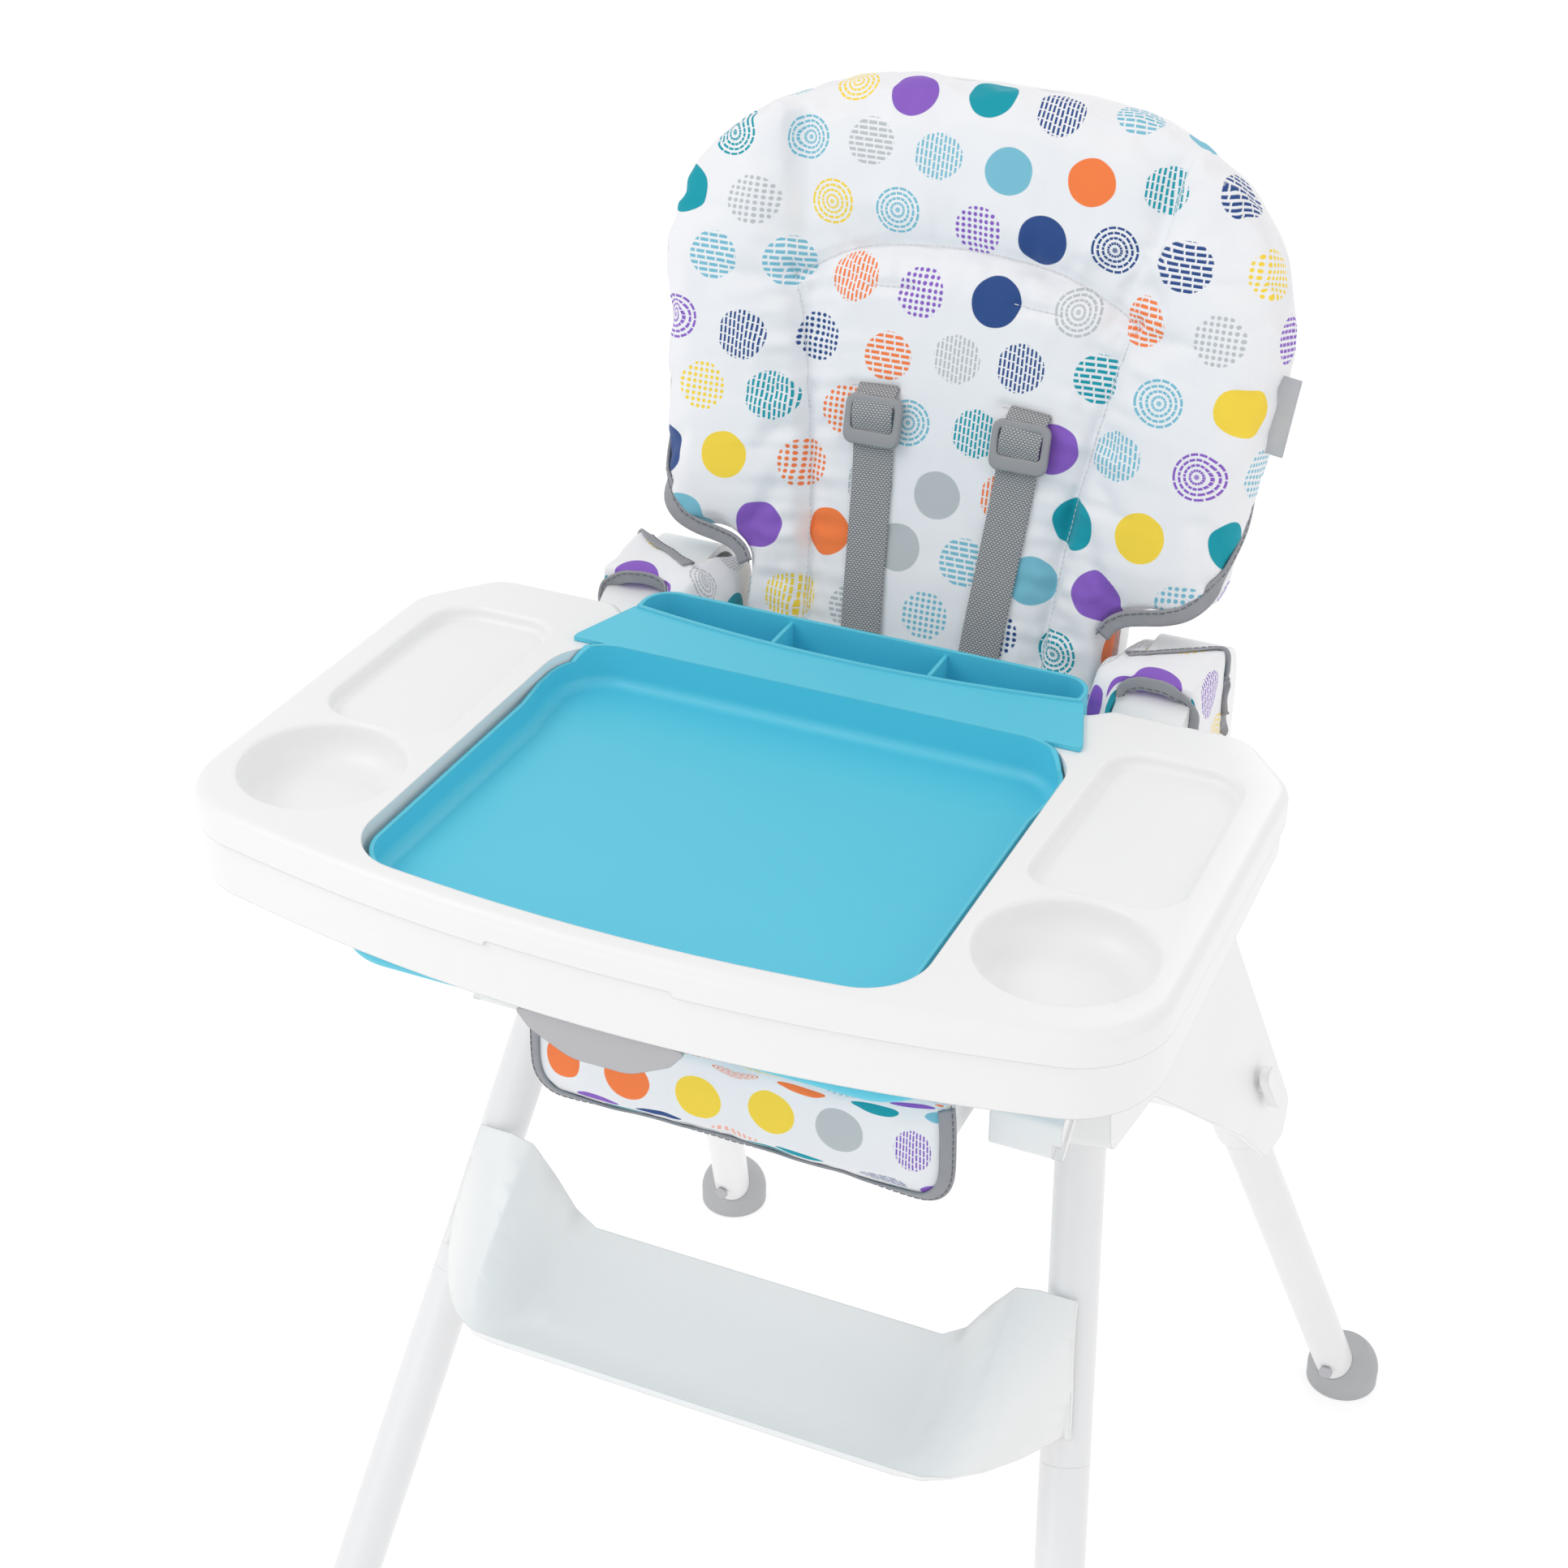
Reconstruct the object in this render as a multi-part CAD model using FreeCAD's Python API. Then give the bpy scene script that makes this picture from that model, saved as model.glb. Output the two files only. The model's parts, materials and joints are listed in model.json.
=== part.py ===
import FreeCAD, Part
import math
import os
from FreeCAD import Placement, Rotation, Vector

# Baby high chair: an A-frame of round tubes carries a moulded seat with arms, a reclining
# padded back, a sliding tray with a lift-out insert, and a footrest.
# Millimetres. The origin is on the floor under the middle of the chair, the child faces -Y.

# ---------------------------------------------------------------- leg frame
PAN_HALF = 122.0
LEG_RADIUS = 14.3
LEG_WALL = 1.2
APEX_BESIDE_PAN = 16.0
APEX_X = PAN_HALF + APEX_BESIDE_PAN
APEX_Z = 700.0
LEG_SPREAD = 120.0
FOOT_X = APEX_X + LEG_SPREAD
FOOT_Y = 345.0
FRONT_SEAM_Z = 354.0
FRONT_LEG_TOP_Z = 590.0
REAR_LEG_ABOVE_PIVOT = 22.0
SPIGOT_LENGTH = 60.0
SLIP_CLEARANCE = 0.05

FOOT_RADIUS = 26.4
FOOT_RIM_HEIGHT = 9.0
FOOT_HEIGHT = 34.0
FOOT_TOP_RADIUS = 19.0
FOOT_SOLE = 8.0
FOOT_SCREW_RADIUS = 3.0
FOOT_SCREW_HEIGHT = 39.0

PIVOT_Z = 590.0
PIVOT_RADIUS = 4.0
PIN_CLEARANCE = 0.05
FOLD_ANGLE = 45.0

# ---------------------------------------------------------------- hub housings
HUB_GAP = 20.5
HUB_PLATE = 3.5
HUB_WALL = 3.0
HUB_ABOVE_PIVOT = 42.0
HUB_TOP_Z = PIVOT_Z + HUB_ABOVE_PIVOT
SWEEP_CLEARANCE = 2.0
HUB_OUTLINE = [
    (-108.0, 522.0, 6.0), (-90.0, 578.0, 30.0), (-56.0, HUB_TOP_Z, 16.0), (74.0, HUB_TOP_Z, 20.0),
    (90.0, 606.0, 16.0), (206.0, 350.0, 10.0), (186.0, 336.0, 8.0), (150.0, 342.0, 10.0),
    (106.0, 388.0, 40.0), (-34.0, 511.0, 20.0),
]
HUB_INNER_OUTLINE = [
    (-108.0, 522.0, 6.0), (-90.0, 578.0, 30.0), (-56.0, HUB_TOP_Z, 16.0), (74.0, HUB_TOP_Z, 20.0),
    (90.0, 606.0, 16.0), (118.0, 545.0, 20.0), (122.0, 470.0, 14.0), (60.0, 448.0, 30.0),
    (0.0, 468.0, 30.0), (-34.0, 511.0, 20.0),
]
HUB_SCREW_RADIUS = 3.0
HUB_BOSS_RADIUS = 6.0
HUB_BOSS_BELOW_TOP = 20.0
HUB_BOSSES = [(y, HUB_TOP_Z - HUB_BOSS_BELOW_TOP) for y in (-34.0, 8.0)]
LEG_BOLT_BELOW_PIVOT = 30.0
LEG_BOLT_Z = PIVOT_Z - LEG_BOLT_BELOW_PIVOT
SCREW_HEAD_RADIUS = 5.0
SCREW_HEAD_HEIGHT = 2.2

CROSS_TUBE_RADIUS = 9.0
FRONT_CROSS_Y = -40.0
FRONT_CROSS_Z = 536.0
REAR_CROSS_Z = 440.0

BRACKET_RADIUS = 17.3
BRACKET_BOTTOM_Z = 346.0
BRACKET_TOP_Z = 438.0
BRACKET_LUG_REACH = 30.0
BRACKET_LUG_HALF_HEIGHT = 13.0
BRACKET_LUG_HALF_THICKNESS = 7.0
RIVET_RADIUS = 2.6
LOCK_Z = 398.0
LOCK_PIN_RADIUS = 4.0
LOCK_HOLE_RADIUS = 5.0
LOCK_CAP_HALF_LENGTH = 17.0
LOCK_CAP_HALF_WIDTH = 8.0
LOCK_CAP_HEIGHT = 6.0
LOCK_TRAVEL = 4.0

# ---------------------------------------------------------------- footrest
REST_WALL = 3.6
REST_BACK_Y = -146.0
REST_BACK_Z = 396.0
REST_DIP = 22.0
REST_FRONT_Y = -250.0
REST_FRONT_Z = 390.0
REST_BESIDE_APEX = 59.0
REST_END_HALF = APEX_X + REST_BESIDE_APEX
REST_EASE = 36.0
REST_STATION = 14.0
REST_FLAT_INSET = 85.0
REST_LIP_INSET = 71.0
REST_FLAT_HALF = REST_END_HALF - REST_FLAT_INSET
REST_LIP_HALF = REST_END_HALF - REST_LIP_INSET
REST_END_TOP_Z = 448.0
REST_END_LOW_Z = 378.0
REST_LEG_GAP = 0.4
REST_EDGE_BEYOND_LEG = 8.0
REST_SCREW_HEIGHTS = (430.0, 396.0)

# ---------------------------------------------------------------- seat
PAN_WALL = 4.0
PAN_BELOW_PIVOT = 30.0
PAN_FLOOR_Z = PIVOT_Z - PAN_BELOW_PIVOT
PAN_FRONT_Y = -172.0
PAN_REAR_Y = 130.0
PAN_LIP = 14.0
PAN_LIP_Z = PAN_FLOOR_Z + PAN_LIP
PAN_SLOPE_Y = -60.0
PAN_DEPTH = 80.0
PAN_SHOULDER = 30.0
FLANGE_THICK = 3.6
FLANGE_TOP_Z = PAN_FLOOR_Z + PAN_DEPTH
FLANGE_LOW_Z = FLANGE_TOP_Z - FLANGE_THICK
ARM_BESIDE_PAN = 17.0
ARM_WIDTH = 41.0
ARM_INNER_X = PAN_HALF + ARM_BESIDE_PAN
ARM_OUTER_X = ARM_INNER_X + ARM_WIDTH
FLANGE_INSET = 6.0
FLANGE_OUTER_X = ARM_OUTER_X - FLANGE_INSET
FLANGE_FRONT_Y = -42.0
ARM_HEIGHT = 100.0
ARM_TOP_Z = FLANGE_TOP_Z + ARM_HEIGHT
ARM_REAR_Y = 118.0
ARM_BREAK_Y = 20.0
ARM_FRONT_Y = -160.0
ARM_FRONT_DEPTH = 31.0
ARM_LOW_BREAK_Y = -56.0
ARM_LOW_REAR_Y = 90.0
ARM_WALL = 4.0
ARM_GROOVE_SIDE_WALL = 10.0
SEAT_SCREW_RADIUS = 3.0
SEAT_SCREW_INSET = 16.0
SEAT_SCREW_X = ARM_INNER_X + SEAT_SCREW_INSET
SEAT_SCREW_Y = (-30.0, 60.0)
SLIDE_ANGLE = 42.2
GROOVE_BELOW_TOP = 14.0
GROOVE_WIDTH = 8.0
GROOVE_REAR_Y = -18.0
GROOVE_DEPTH = 5.0
RUNNER_CLEARANCE = 0.3
NOTCH_RADIUS = 4.0
NOTCH_DEPTH = 2.0
SLIDE_STEP = 46.6
SLIDE_STEPS = 2

HINGE_Y = 92.0
HINGE_ABOVE_FLOOR = 25.0
HINGE_Z = PAN_FLOOR_Z + HINGE_ABOVE_FLOOR
HINGE_RADIUS = 4.0
HINGE_BOSS_RADIUS = 13.0
BACK_TILT = 14.7
RECLINE_ANGLE = 25.0

# ---------------------------------------------------------------- back (local: x, n rearward, t up)
PAD_FRONT_N = -46.0
PAD_REAR_N = -22.0
WING_FRONT_N = -60.0
SHELL_FRONT_N = -21.6
SHELL_WALL = 3.5
SHELL_RIM = 18.0
SHELL_RIM_WALL = 3.0
SHELL_INSET = 7.0
BACK_TOP_T = 448.0
BACK_BOTTOM_T = 8.0
BACK_SIDE_GAP = 6.0
BACK_LOWER_HALF = PAN_HALF - PAN_WALL - BACK_SIDE_GAP
LUG_TOP_T = 40.0
BACK_NECK_T = 150.0
SEAM_GAP = 0.4
SOFT_GAP = 0.4
WING_BESIDE_BACK = [
    (6.0, 163.0, 10.0), (58.0, 170.0, 12.0), (70.0, 245.0, 60.0), (78.5, 325.0, 60.0),
    (64.0, 376.0, 60.0), (38.0, 409.0, 40.0),
]
WING_OUTLINE = [(BACK_LOWER_HALF + beside, t, r) for beside, t, r in WING_BESIDE_BACK]
SEAM_LINE = [(73.0, 9.0), (77.0, 150.0), (84.0, 225.0), (101.5, 329.0), (117.0, 392.0), (121.5, 429.0)]
CROWN_LINE = [(96.0, 440.0, 60.0), (48.0, BACK_TOP_T, 120.0)]

STRAP_WIDTH = 25.0
STRAP_THICK = 1.8
STRAP_TOP_X = 46.7
STRAP_LOW_X = 36.0
STRAP_TOP_T = 262.0
STRAP_LOW_T = 62.0
LOCK_PLATE_HALF_W = 18.0
LOCK_PLATE_HALF_H = 15.0
LOCK_PLATE_THICK = 4.0
LOCK_PLATE_T = 244.0
LOCK_TOP_RIM = 4.5
LOCK_LOW_RIM = 7.5
LOCK_BAR_T = 245.5
LOCK_BAR_HALF = 1.6

GRIP_HALF = 38.0
GRIP_T = 210.0
GRIP_HEIGHT = 34.0
GRIP_THICK = 12.0
LATCH_N = 1.0
LATCH_ROD_RADIUS = 3.0
LATCH_ROD_X = 26.0
LATCH_BAR_T = 45.0
LATCH_BAR_GAP = 0.4
GUIDE_T = (80.0, 150.0)
GUIDE_HEIGHT = 12.0
GUIDE_HALF = 8.0
GUIDE_CLEARANCE = 0.1
RECLINE_STEPS = 2
RECLINE_NOTCH_DEPTH = 1.2

SEAT_PAD_SIDE_GAP = 4.0
SEAT_PAD_HALF = PAN_HALF - PAN_WALL - SEAT_PAD_SIDE_GAP
SEAT_PAD_THICK = 22.0
SEAT_PAD_REAR_Y = 40.0
SEAT_PAD_FRONT_Y = -168.0
FLAP_BESIDE_PAN = 5.0
FLAP_HALF = PAN_HALF + FLAP_BESIDE_PAN
FLAP_THICK = 12.0
FLAP_ABOVE_LIP = 18.0
FLAP_HEIGHT = 71.0
FLAP_TOP_Z = PAN_LIP_Z + FLAP_ABOVE_LIP
FLAP_LOW_Z = FLAP_TOP_Z - FLAP_HEIGHT
SIDE_PAD_THICK = 15.0
SIDE_PAD_CAP = 10.0
CAP_REAR_Y = 78.0
SIDE_PAD_ABOVE_FLANGE = 2.0
SIDE_PAD_LOW_Z = FLANGE_TOP_Z + SIDE_PAD_ABOVE_FLANGE
SIDE_PAD_BEFORE_BREAK = 70.0
SIDE_PAD_REAR_LIFT = 18.0
SIDE_PAD_REAR_DROP = 26.0
SIDE_PAD_REAR_INSET = 6.0

BUCKLE_Y = -28.0
BUCKLE_ABOVE_FLOOR = 57.0
BUCKLE_Z = PAN_FLOOR_Z + BUCKLE_ABOVE_FLOOR
BUCKLE_HALF_W = 22.0
BUCKLE_HALF_L = 27.0
BUCKLE_THICK = 14.0
BUCKLE_WALL = 2.0
BUTTON_RADIUS = 10.0
BUTTON_TRAVEL = 3.0
BUTTON_STAND = 4.0
TONGUE_OUTER_X = 34.0
CROTCH_SLOT_Y = -75.0
WAIST_SLOT_INSET = 8.0
WAIST_SLOT_X = BACK_LOWER_HALF - WAIST_SLOT_INSET
WAIST_SLOT_Y = 26.0

# ---------------------------------------------------------------- tray
TRAY_ABOVE_ARM = 14.0
TRAY_TOP_Z = ARM_TOP_Z + TRAY_ABOVE_ARM
TRAY_HALF = 263.0
TRAY_FRONT_Y = -338.0
TRAY_BOW_RADIUS = 1004.0
TRAY_BOW_END = 61.92
TRAY_BOW_HALF = TRAY_HALF - TRAY_BOW_END
TRAY_CORNER = 50.0
TRAY_REAR_Y = -31.5
TRAY_REAR_BOW_Y = -52.9
REAR_BOW_RADIUS = 754.0
TRAY_EAR_Y = -22.0
TRAY_EAR_INSET = 37.0
TRAY_EAR_OUTER_X = TRAY_HALF - TRAY_EAR_INSET
TRAY_EAR_INNER_X = 150.0
TRAY_REAR_HALF = 139.0
TRAY_SIDE_TAPER = 3.0
TRAY_SIDE_REAR_Y = -62.0
TRAY_WALL = 3.0
TRAY_UPPER_DEPTH = 19.0
TRAY_PARTING_Z = TRAY_TOP_Z - TRAY_UPPER_DEPTH
TRAY_EDGE_ROUND = 7.0
SKIRT_FRONT_DEPTH = 51.0
SKIRT_REAR_DEPTH = 32.0
SKIRT_FRONT_Z = TRAY_TOP_Z - SKIRT_FRONT_DEPTH
SKIRT_REAR_Z = TRAY_TOP_Z - SKIRT_REAR_DEPTH
SKIRT_INSET = 2.2
PARTING_STEP_HEIGHT = 3.0
PARTING_STEP_X = (-59.0, 42.0)
PARTING_STEP_CORNER = 2.0
SKIRT_WALL = 2.6
WELL_HALF = 151.0
WELL_FRONT_Y = -327.0
WELL_BOW_END = 40.55
WELL_BOW_HALF = WELL_HALF - WELL_BOW_END
WELL_REAR_Y = -72.0
WELL_CORNER = 34.0
WELL_DEPTH = 27.0
WELL_FLOOR_Z = TRAY_TOP_Z - WELL_DEPTH
CUP_INWARD = 3.5
CUP_MARGIN = 12.5
CUP_FROM_FRONT = 44.9
CUP_RADIUS = (TRAY_HALF - WELL_HALF) / 2 - CUP_MARGIN
CUP_X = (WELL_HALF + TRAY_HALF) / 2 - CUP_INWARD
CUP_Y = TRAY_FRONT_Y + CUP_FROM_FRONT + CUP_RADIUS
TRAY_LIP_ROUND = 3.0
CUP_DEPTH = 22.0
CUP_UPRIGHT = 4.0
CUP_FLOOR_ROUND = CUP_DEPTH - TRAY_LIP_ROUND - CUP_UPRIGHT
RECESS_DEPTH = 8.0
RECESS_UPRIGHT = 1.0
RECESS_FLOOR_ROUND = RECESS_DEPTH - TRAY_LIP_ROUND - RECESS_UPRIGHT
RECESS_WALL = 2.4
RECESS_BESIDE_WELL = 12.0
RECESS_FROM_EDGE = 22.0
RECESS_TAPER = 3.0
RECESS_BEHIND_CUP = 6.1
RECESS_FRONT_Y = CUP_Y + CUP_RADIUS + RECESS_BEHIND_CUP
RECESS_INNER_X = WELL_HALF + RECESS_BESIDE_WELL
RECESS_OUTER_X = TRAY_HALF - RECESS_FROM_EDGE
RECESS_OUTLINE = [
    (RECESS_INNER_X, RECESS_FRONT_Y, 14.0), (RECESS_OUTER_X, RECESS_FRONT_Y, 22.0),
    (RECESS_OUTER_X - RECESS_TAPER, -62.0, 24.0), (RECESS_INNER_X + RECESS_TAPER, -62.0, 20.0),
]

COVER_BESIDE_WELL = 14.0
COVER_HALF = WELL_HALF + COVER_BESIDE_WELL
COVER_FRONT_Y = -322.0
COVER_REAR_Y = -49.5
COVER_DEPTH = 64.0
COVER_LOW_Z = TRAY_TOP_Z - COVER_DEPTH
COVER_WALL = 2.6
COVER_CORNER = 36.0
COVER_EDGE_ROUND = 8.0

RUNNER_THICK = 4.0
RUNNER_REAR_Y = -28.0
RUNNER_FRONT_Y = -132.0
RUNNER_TOP_Z = TRAY_TOP_Z - RECESS_DEPTH - RECESS_WALL
RUNNER_FRONT_HEIGHT = 40.0
RUNNER_LOW_Y = -100.0
RUNNER_BELOW_GROOVE = 9.0
RIB_MARGIN = 8.0
RUNNER_WIDTH = 20.0
RUNNER_FLANGE_OUTER_X = ARM_OUTER_X + RUNNER_WIDTH
RUNNER_FLANGE_THICK = 2.4
TRAY_SCREW_INSET = 8.0
TRAY_SCREW_X = RUNNER_FLANGE_OUTER_X - TRAY_SCREW_INSET
TRAY_SCREW_Y = (-118.0, -76.0)
TRAY_SCREW_RADIUS = 2.0
PIN_Y = -62.0
LATCH_PIN_RADIUS = 3.0
LATCH_ARM_THICK = 4.0
LATCH_BAR_HALF = 6.0
LATCH_BAR_ABOVE_COVER = 4.0
LATCH_BAR_LOW_Z = COVER_LOW_Z + LATCH_BAR_ABOVE_COVER
LATCH_BAR_HEIGHT = 5.5
LATCH_GAP = 0.4
LATCH_TRAVEL = 6.0
HANDLE_TRAVEL = 8.0
WEDGE_TIP_Y = -100.0
WEDGE_REAR_Y = -54.0
ROD_HALF = 8.0
HANDLE_HALF = 47.0
HANDLE_DEPTH = 20.0
HANDLE_ABOVE_ROD = 2.0
HANDLE_THICK = 9.0
HANDLE_FRONT_Y = -333.0

INSERT_GAP = 1.4
INSERT_SIDE_GAP = 4.6
INSERT_BOW_RADIUS = 800.0
INSERT_BOW_HALF = 80.6
INSERT_FLARE_Y = (-142.0, -118.0)
INSERT_WALL = 2.4
INSERT_FLOOR_ROUND = 7.0
INSERT_STAND = 5.0
INSERT_RIM_BELOW = 5.5
INSERT_FLOOR_Z = WELL_FLOOR_Z + INSERT_STAND
INSERT_RIM_Z = TRAY_TOP_Z - INSERT_RIM_BELOW
LEDGE_THICK = 2.4
LEDGE_SEAT = 0.2
LEDGE_Z = TRAY_TOP_Z + LEDGE_SEAT + LEDGE_THICK
BOX_INSET = 17.0
BOX_HALF = WELL_HALF - BOX_INSET
BOX_REAR_Y = -4.0
BOX_FRONT_Y = -29.5
BOX_BEHIND_TRAY = 2.5
BOX_REAR_CORNER = 17.0
BOX_DEPTH = 26.0
BOX_LIP = 1.0
BOX_LOW_Z = TRAY_TOP_Z - BOX_DEPTH
BOX_TOP_Z = LEDGE_Z + BOX_LIP
DIVIDER_X = 47.0

TAG_LENGTH = 15.0
TAG_SEWN_IN = 5.0
TAG_T = 270.0
TAG_HEIGHT = 44.0
TAG_THICK = 1.6

LEG_SLOPE = math.atan2(FOOT_Y, APEX_Z)
LEG_FACE = LEG_RADIUS / math.cos(LEG_SLOPE)
SPLAY = math.degrees(math.atan2(FOOT_X - APEX_X, APEX_Z))
SPLAY_COS = math.cos(math.radians(SPLAY))
SIDES = [("right", 1), ("left", -1)]
GROOVE_SLOPE = math.tan(math.radians(SLIDE_ANGLE))
SLIDE_COS = math.cos(math.radians(SLIDE_ANGLE))


# ---------------------------------------------------------------- helpers
def save(shape, name):
    os.makedirs("parts", exist_ok=True)
    shape.exportStep("parts/" + name + ".step")


def fuse(shapes):
    result = shapes[0]
    for other in shapes[1:]:
        result = result.fuse(other)
    return result.removeSplitter()


def cut(shape, tools):
    for tool in tools:
        shape = shape.cut(tool)
    return shape


def mirror_x(shape):
    return shape.mirror(Vector(0, 0, 0), Vector(1, 0, 0))


def on_side(shape, sign):
    """A piece drawn for the +X side, mirrored when it is wanted on the -X side."""
    return shape if sign > 0 else mirror_x(shape)


def box(x0, x1, y0, y1, z0, z1):
    return Part.makeBox(x1 - x0, y1 - y0, z1 - z0, Vector(x0, y0, z0))


def rod(start, end, radius):
    axis = end.sub(start)
    return Part.makeCylinder(radius, axis.Length, start, axis)


def pipe(start, end, outer, inner):
    return rod(start, end, outer).cut(rod(start, end, inner))


def corner_points(before, corner, after, radius):
    """The two tangent points and the middle of the arc that rounds one corner."""
    to_before = before.sub(corner).normalize()
    to_after = after.sub(corner).normalize()
    half = to_before.getAngle(to_after) / 2.0
    reach = radius / math.tan(half)
    centre_way = to_before.add(to_after).normalize()
    middle = corner.add(centre_way.multiply(radius / math.sin(half) - radius))
    first = corner.add(Vector(to_before).multiply(reach))
    last = corner.add(Vector(to_after).multiply(reach))
    return first, middle, last


def outline_wire(corners, place):
    """A closed wire through (a, b, radius) corners, each rounded, laid in space by place(a, b)."""
    points = [Vector(a, b, 0) for a, b, r in corners]
    count = len(points)
    arcs = []
    for i in range(count):
        radius = corners[i][2]
        before = Vector(points[i - 1])
        after = Vector(points[(i + 1) % count])
        if radius > 0:
            arcs.append(corner_points(before, Vector(points[i]), after, radius))
        else:
            arcs.append((points[i], None, points[i]))
    edges = []
    for i in range(count):
        first, middle, last = [p if p is None else place(p.x, p.y) for p in arcs[i]]
        following = arcs[(i + 1) % count][0]
        following = place(following.x, following.y)
        if middle is not None:
            edges.append(Part.Arc(first, middle, last).toShape())
        if last.distanceToPoint(following) > 1e-4:
            edges.append(Part.makeLine(last, following))
    return Part.Wire(Part.__sortEdges__(edges))


def slab(corners, place, push):
    """A plate: the rounded outline, laid by place, pushed along the vector push."""
    return Part.Face(outline_wire(corners, place)).extrude(push)


def slab_xy(corners, z0, z1):
    return slab(corners, lambda a, b: Vector(a, b, z0), Vector(0, 0, z1 - z0))


def slab_yz(corners, x0, x1):
    return slab(corners, lambda a, b: Vector(x0, a, b), Vector(x1 - x0, 0, 0))


def rectangle(x0, x1, y0, y1, radius):
    return [(x0, y0, radius), (x1, y0, radius), (x1, y1, radius), (x0, y1, radius)]


# ---------------------------------------------------------------- side plane of the A-frame
def side_drop(z):
    """Distance down the splayed side plane from the apex to the height z."""
    return (APEX_Z - z) / SPLAY_COS


def side_place(shape):
    """Lay a shape drawn as (w outward, y, up) about the apex into the right-hand side plane."""
    moved = shape.copy()
    moved.Placement = Placement(Vector(APEX_X, 0, APEX_Z), Rotation(Vector(0, 1, 0), -SPLAY))
    return moved


def side_point(w, y, z):
    return Vector(w, y, -side_drop(z))


def leg_y(z):
    """Distance of a leg's axis in front of or behind the apex at the height z."""
    return FOOT_Y * (APEX_Z - z) / APEX_Z


def leg_x(z):
    return APEX_X + (FOOT_X - APEX_X) * (APEX_Z - z) / APEX_Z


def leg_axis_point(z, rear):
    y = leg_y(z)
    return Vector(leg_x(z), y if rear else -y, z)


def side_slab(corners, w0, w1):
    def place(a, b):
        return side_point(w0, a, b)
    return side_place(slab(corners, place, Vector(w1 - w0, 0, 0)))


def side_rod(y, z, w0, w1, radius):
    return side_place(rod(side_point(w0, y, z), side_point(w1, y, z), radius))


def along_leg(z, distance, rear):
    """The point on a leg's axis that lies distance above the height z."""
    here = leg_axis_point(z, rear)
    up = leg_axis_point(APEX_Z, rear).sub(here).normalize()
    return here.add(up.multiply(distance))


def pivot_pin(sign, radius, half_length):
    centre = leg_axis_point(PIVOT_Z, True)
    start = Vector(centre.x - half_length, centre.y, centre.z)
    end = Vector(centre.x + half_length, centre.y, centre.z)
    return on_side(rod(start, end, radius), sign)


def pivot_half_length():
    return (HUB_GAP + HUB_PLATE) / SPLAY_COS + PIVOT_RADIUS * math.tan(math.radians(SPLAY))


# ---------------------------------------------------------------- legs and feet
def front_leg(sign):
    top = leg_axis_point(FRONT_LEG_TOP_Z, False)
    seam = leg_axis_point(FRONT_SEAM_Z, False)
    tube = pipe(seam, top, LEG_RADIUS, LEG_RADIUS - LEG_WALL)
    bolt = side_rod(-leg_y(LEG_BOLT_Z), LEG_BOLT_Z, -LEG_RADIUS * 2, LEG_RADIUS * 2,
                    HUB_SCREW_RADIUS + SLIP_CLEARANCE)
    return on_side(cut(tube, [bolt] + footrest_screw_holes()), sign)


def footrest_screw_holes():
    return [footrest_screw_rod(z, RIVET_RADIUS + SLIP_CLEARANCE) for z in REST_SCREW_HEIGHTS]


def front_extension(sign):
    seam = leg_axis_point(FRONT_SEAM_Z, False)
    spigot_top = along_leg(FRONT_SEAM_Z, SPIGOT_LENGTH, False)
    sole = leg_axis_point(FOOT_SOLE, False)
    tube = rod(sole, seam, LEG_RADIUS)
    spigot_radius = LEG_RADIUS - LEG_WALL - SLIP_CLEARANCE
    spigot = rod(seam, spigot_top, spigot_radius)
    bore = rod(sole, spigot_top, spigot_radius - LEG_WALL)
    tube = fuse([tube, spigot]).cut(bore)
    return on_side(cut(tube, [foot_screw_shank(False)] + footrest_screw_holes()), sign)


def rear_leg(sign):
    top = along_leg(PIVOT_Z, REAR_LEG_ABOVE_PIVOT, True)
    sole = leg_axis_point(FOOT_SOLE, True)
    tube = pipe(sole, top, LEG_RADIUS, LEG_RADIUS - LEG_WALL)
    bore = pivot_pin(1, PIVOT_RADIUS + PIN_CLEARANCE, LEG_RADIUS * 2)
    return on_side(cut(tube, [bore, foot_screw_shank(True), rear_cross_socket()]), sign)


def foot_screw_points(rear):
    """Where the foot's screw enters the leg, on the side that faces the middle of the chair."""
    axis_point = along_leg(0, FOOT_SCREW_HEIGHT, rear)
    inward = Vector(0, -1, 0) if rear else Vector(0, 1, 0)
    return axis_point, inward


def foot_screw_shank(rear):
    centre, inward = foot_screw_points(rear)
    end = centre.add(Vector(inward).multiply(LEG_RADIUS * 2))
    return rod(centre, end, FOOT_SCREW_RADIUS)


def foot_screw(rear):
    centre, inward = foot_screw_points(rear)
    surface = LEG_FACE + SCREW_HEAD_RADIUS * math.tan(LEG_SLOPE) + SLIP_CLEARANCE * 2
    shank_start = centre.add(Vector(inward).multiply(LEG_RADIUS / 2))
    head_start = centre.add(Vector(inward).multiply(surface))
    head_end = centre.add(Vector(inward).multiply(surface + SCREW_HEAD_HEIGHT))
    shank = rod(shank_start, head_start, FOOT_SCREW_RADIUS - SLIP_CLEARANCE)
    head = rod(head_start, head_end, SCREW_HEAD_RADIUS)
    return fuse([shank, head])


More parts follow.
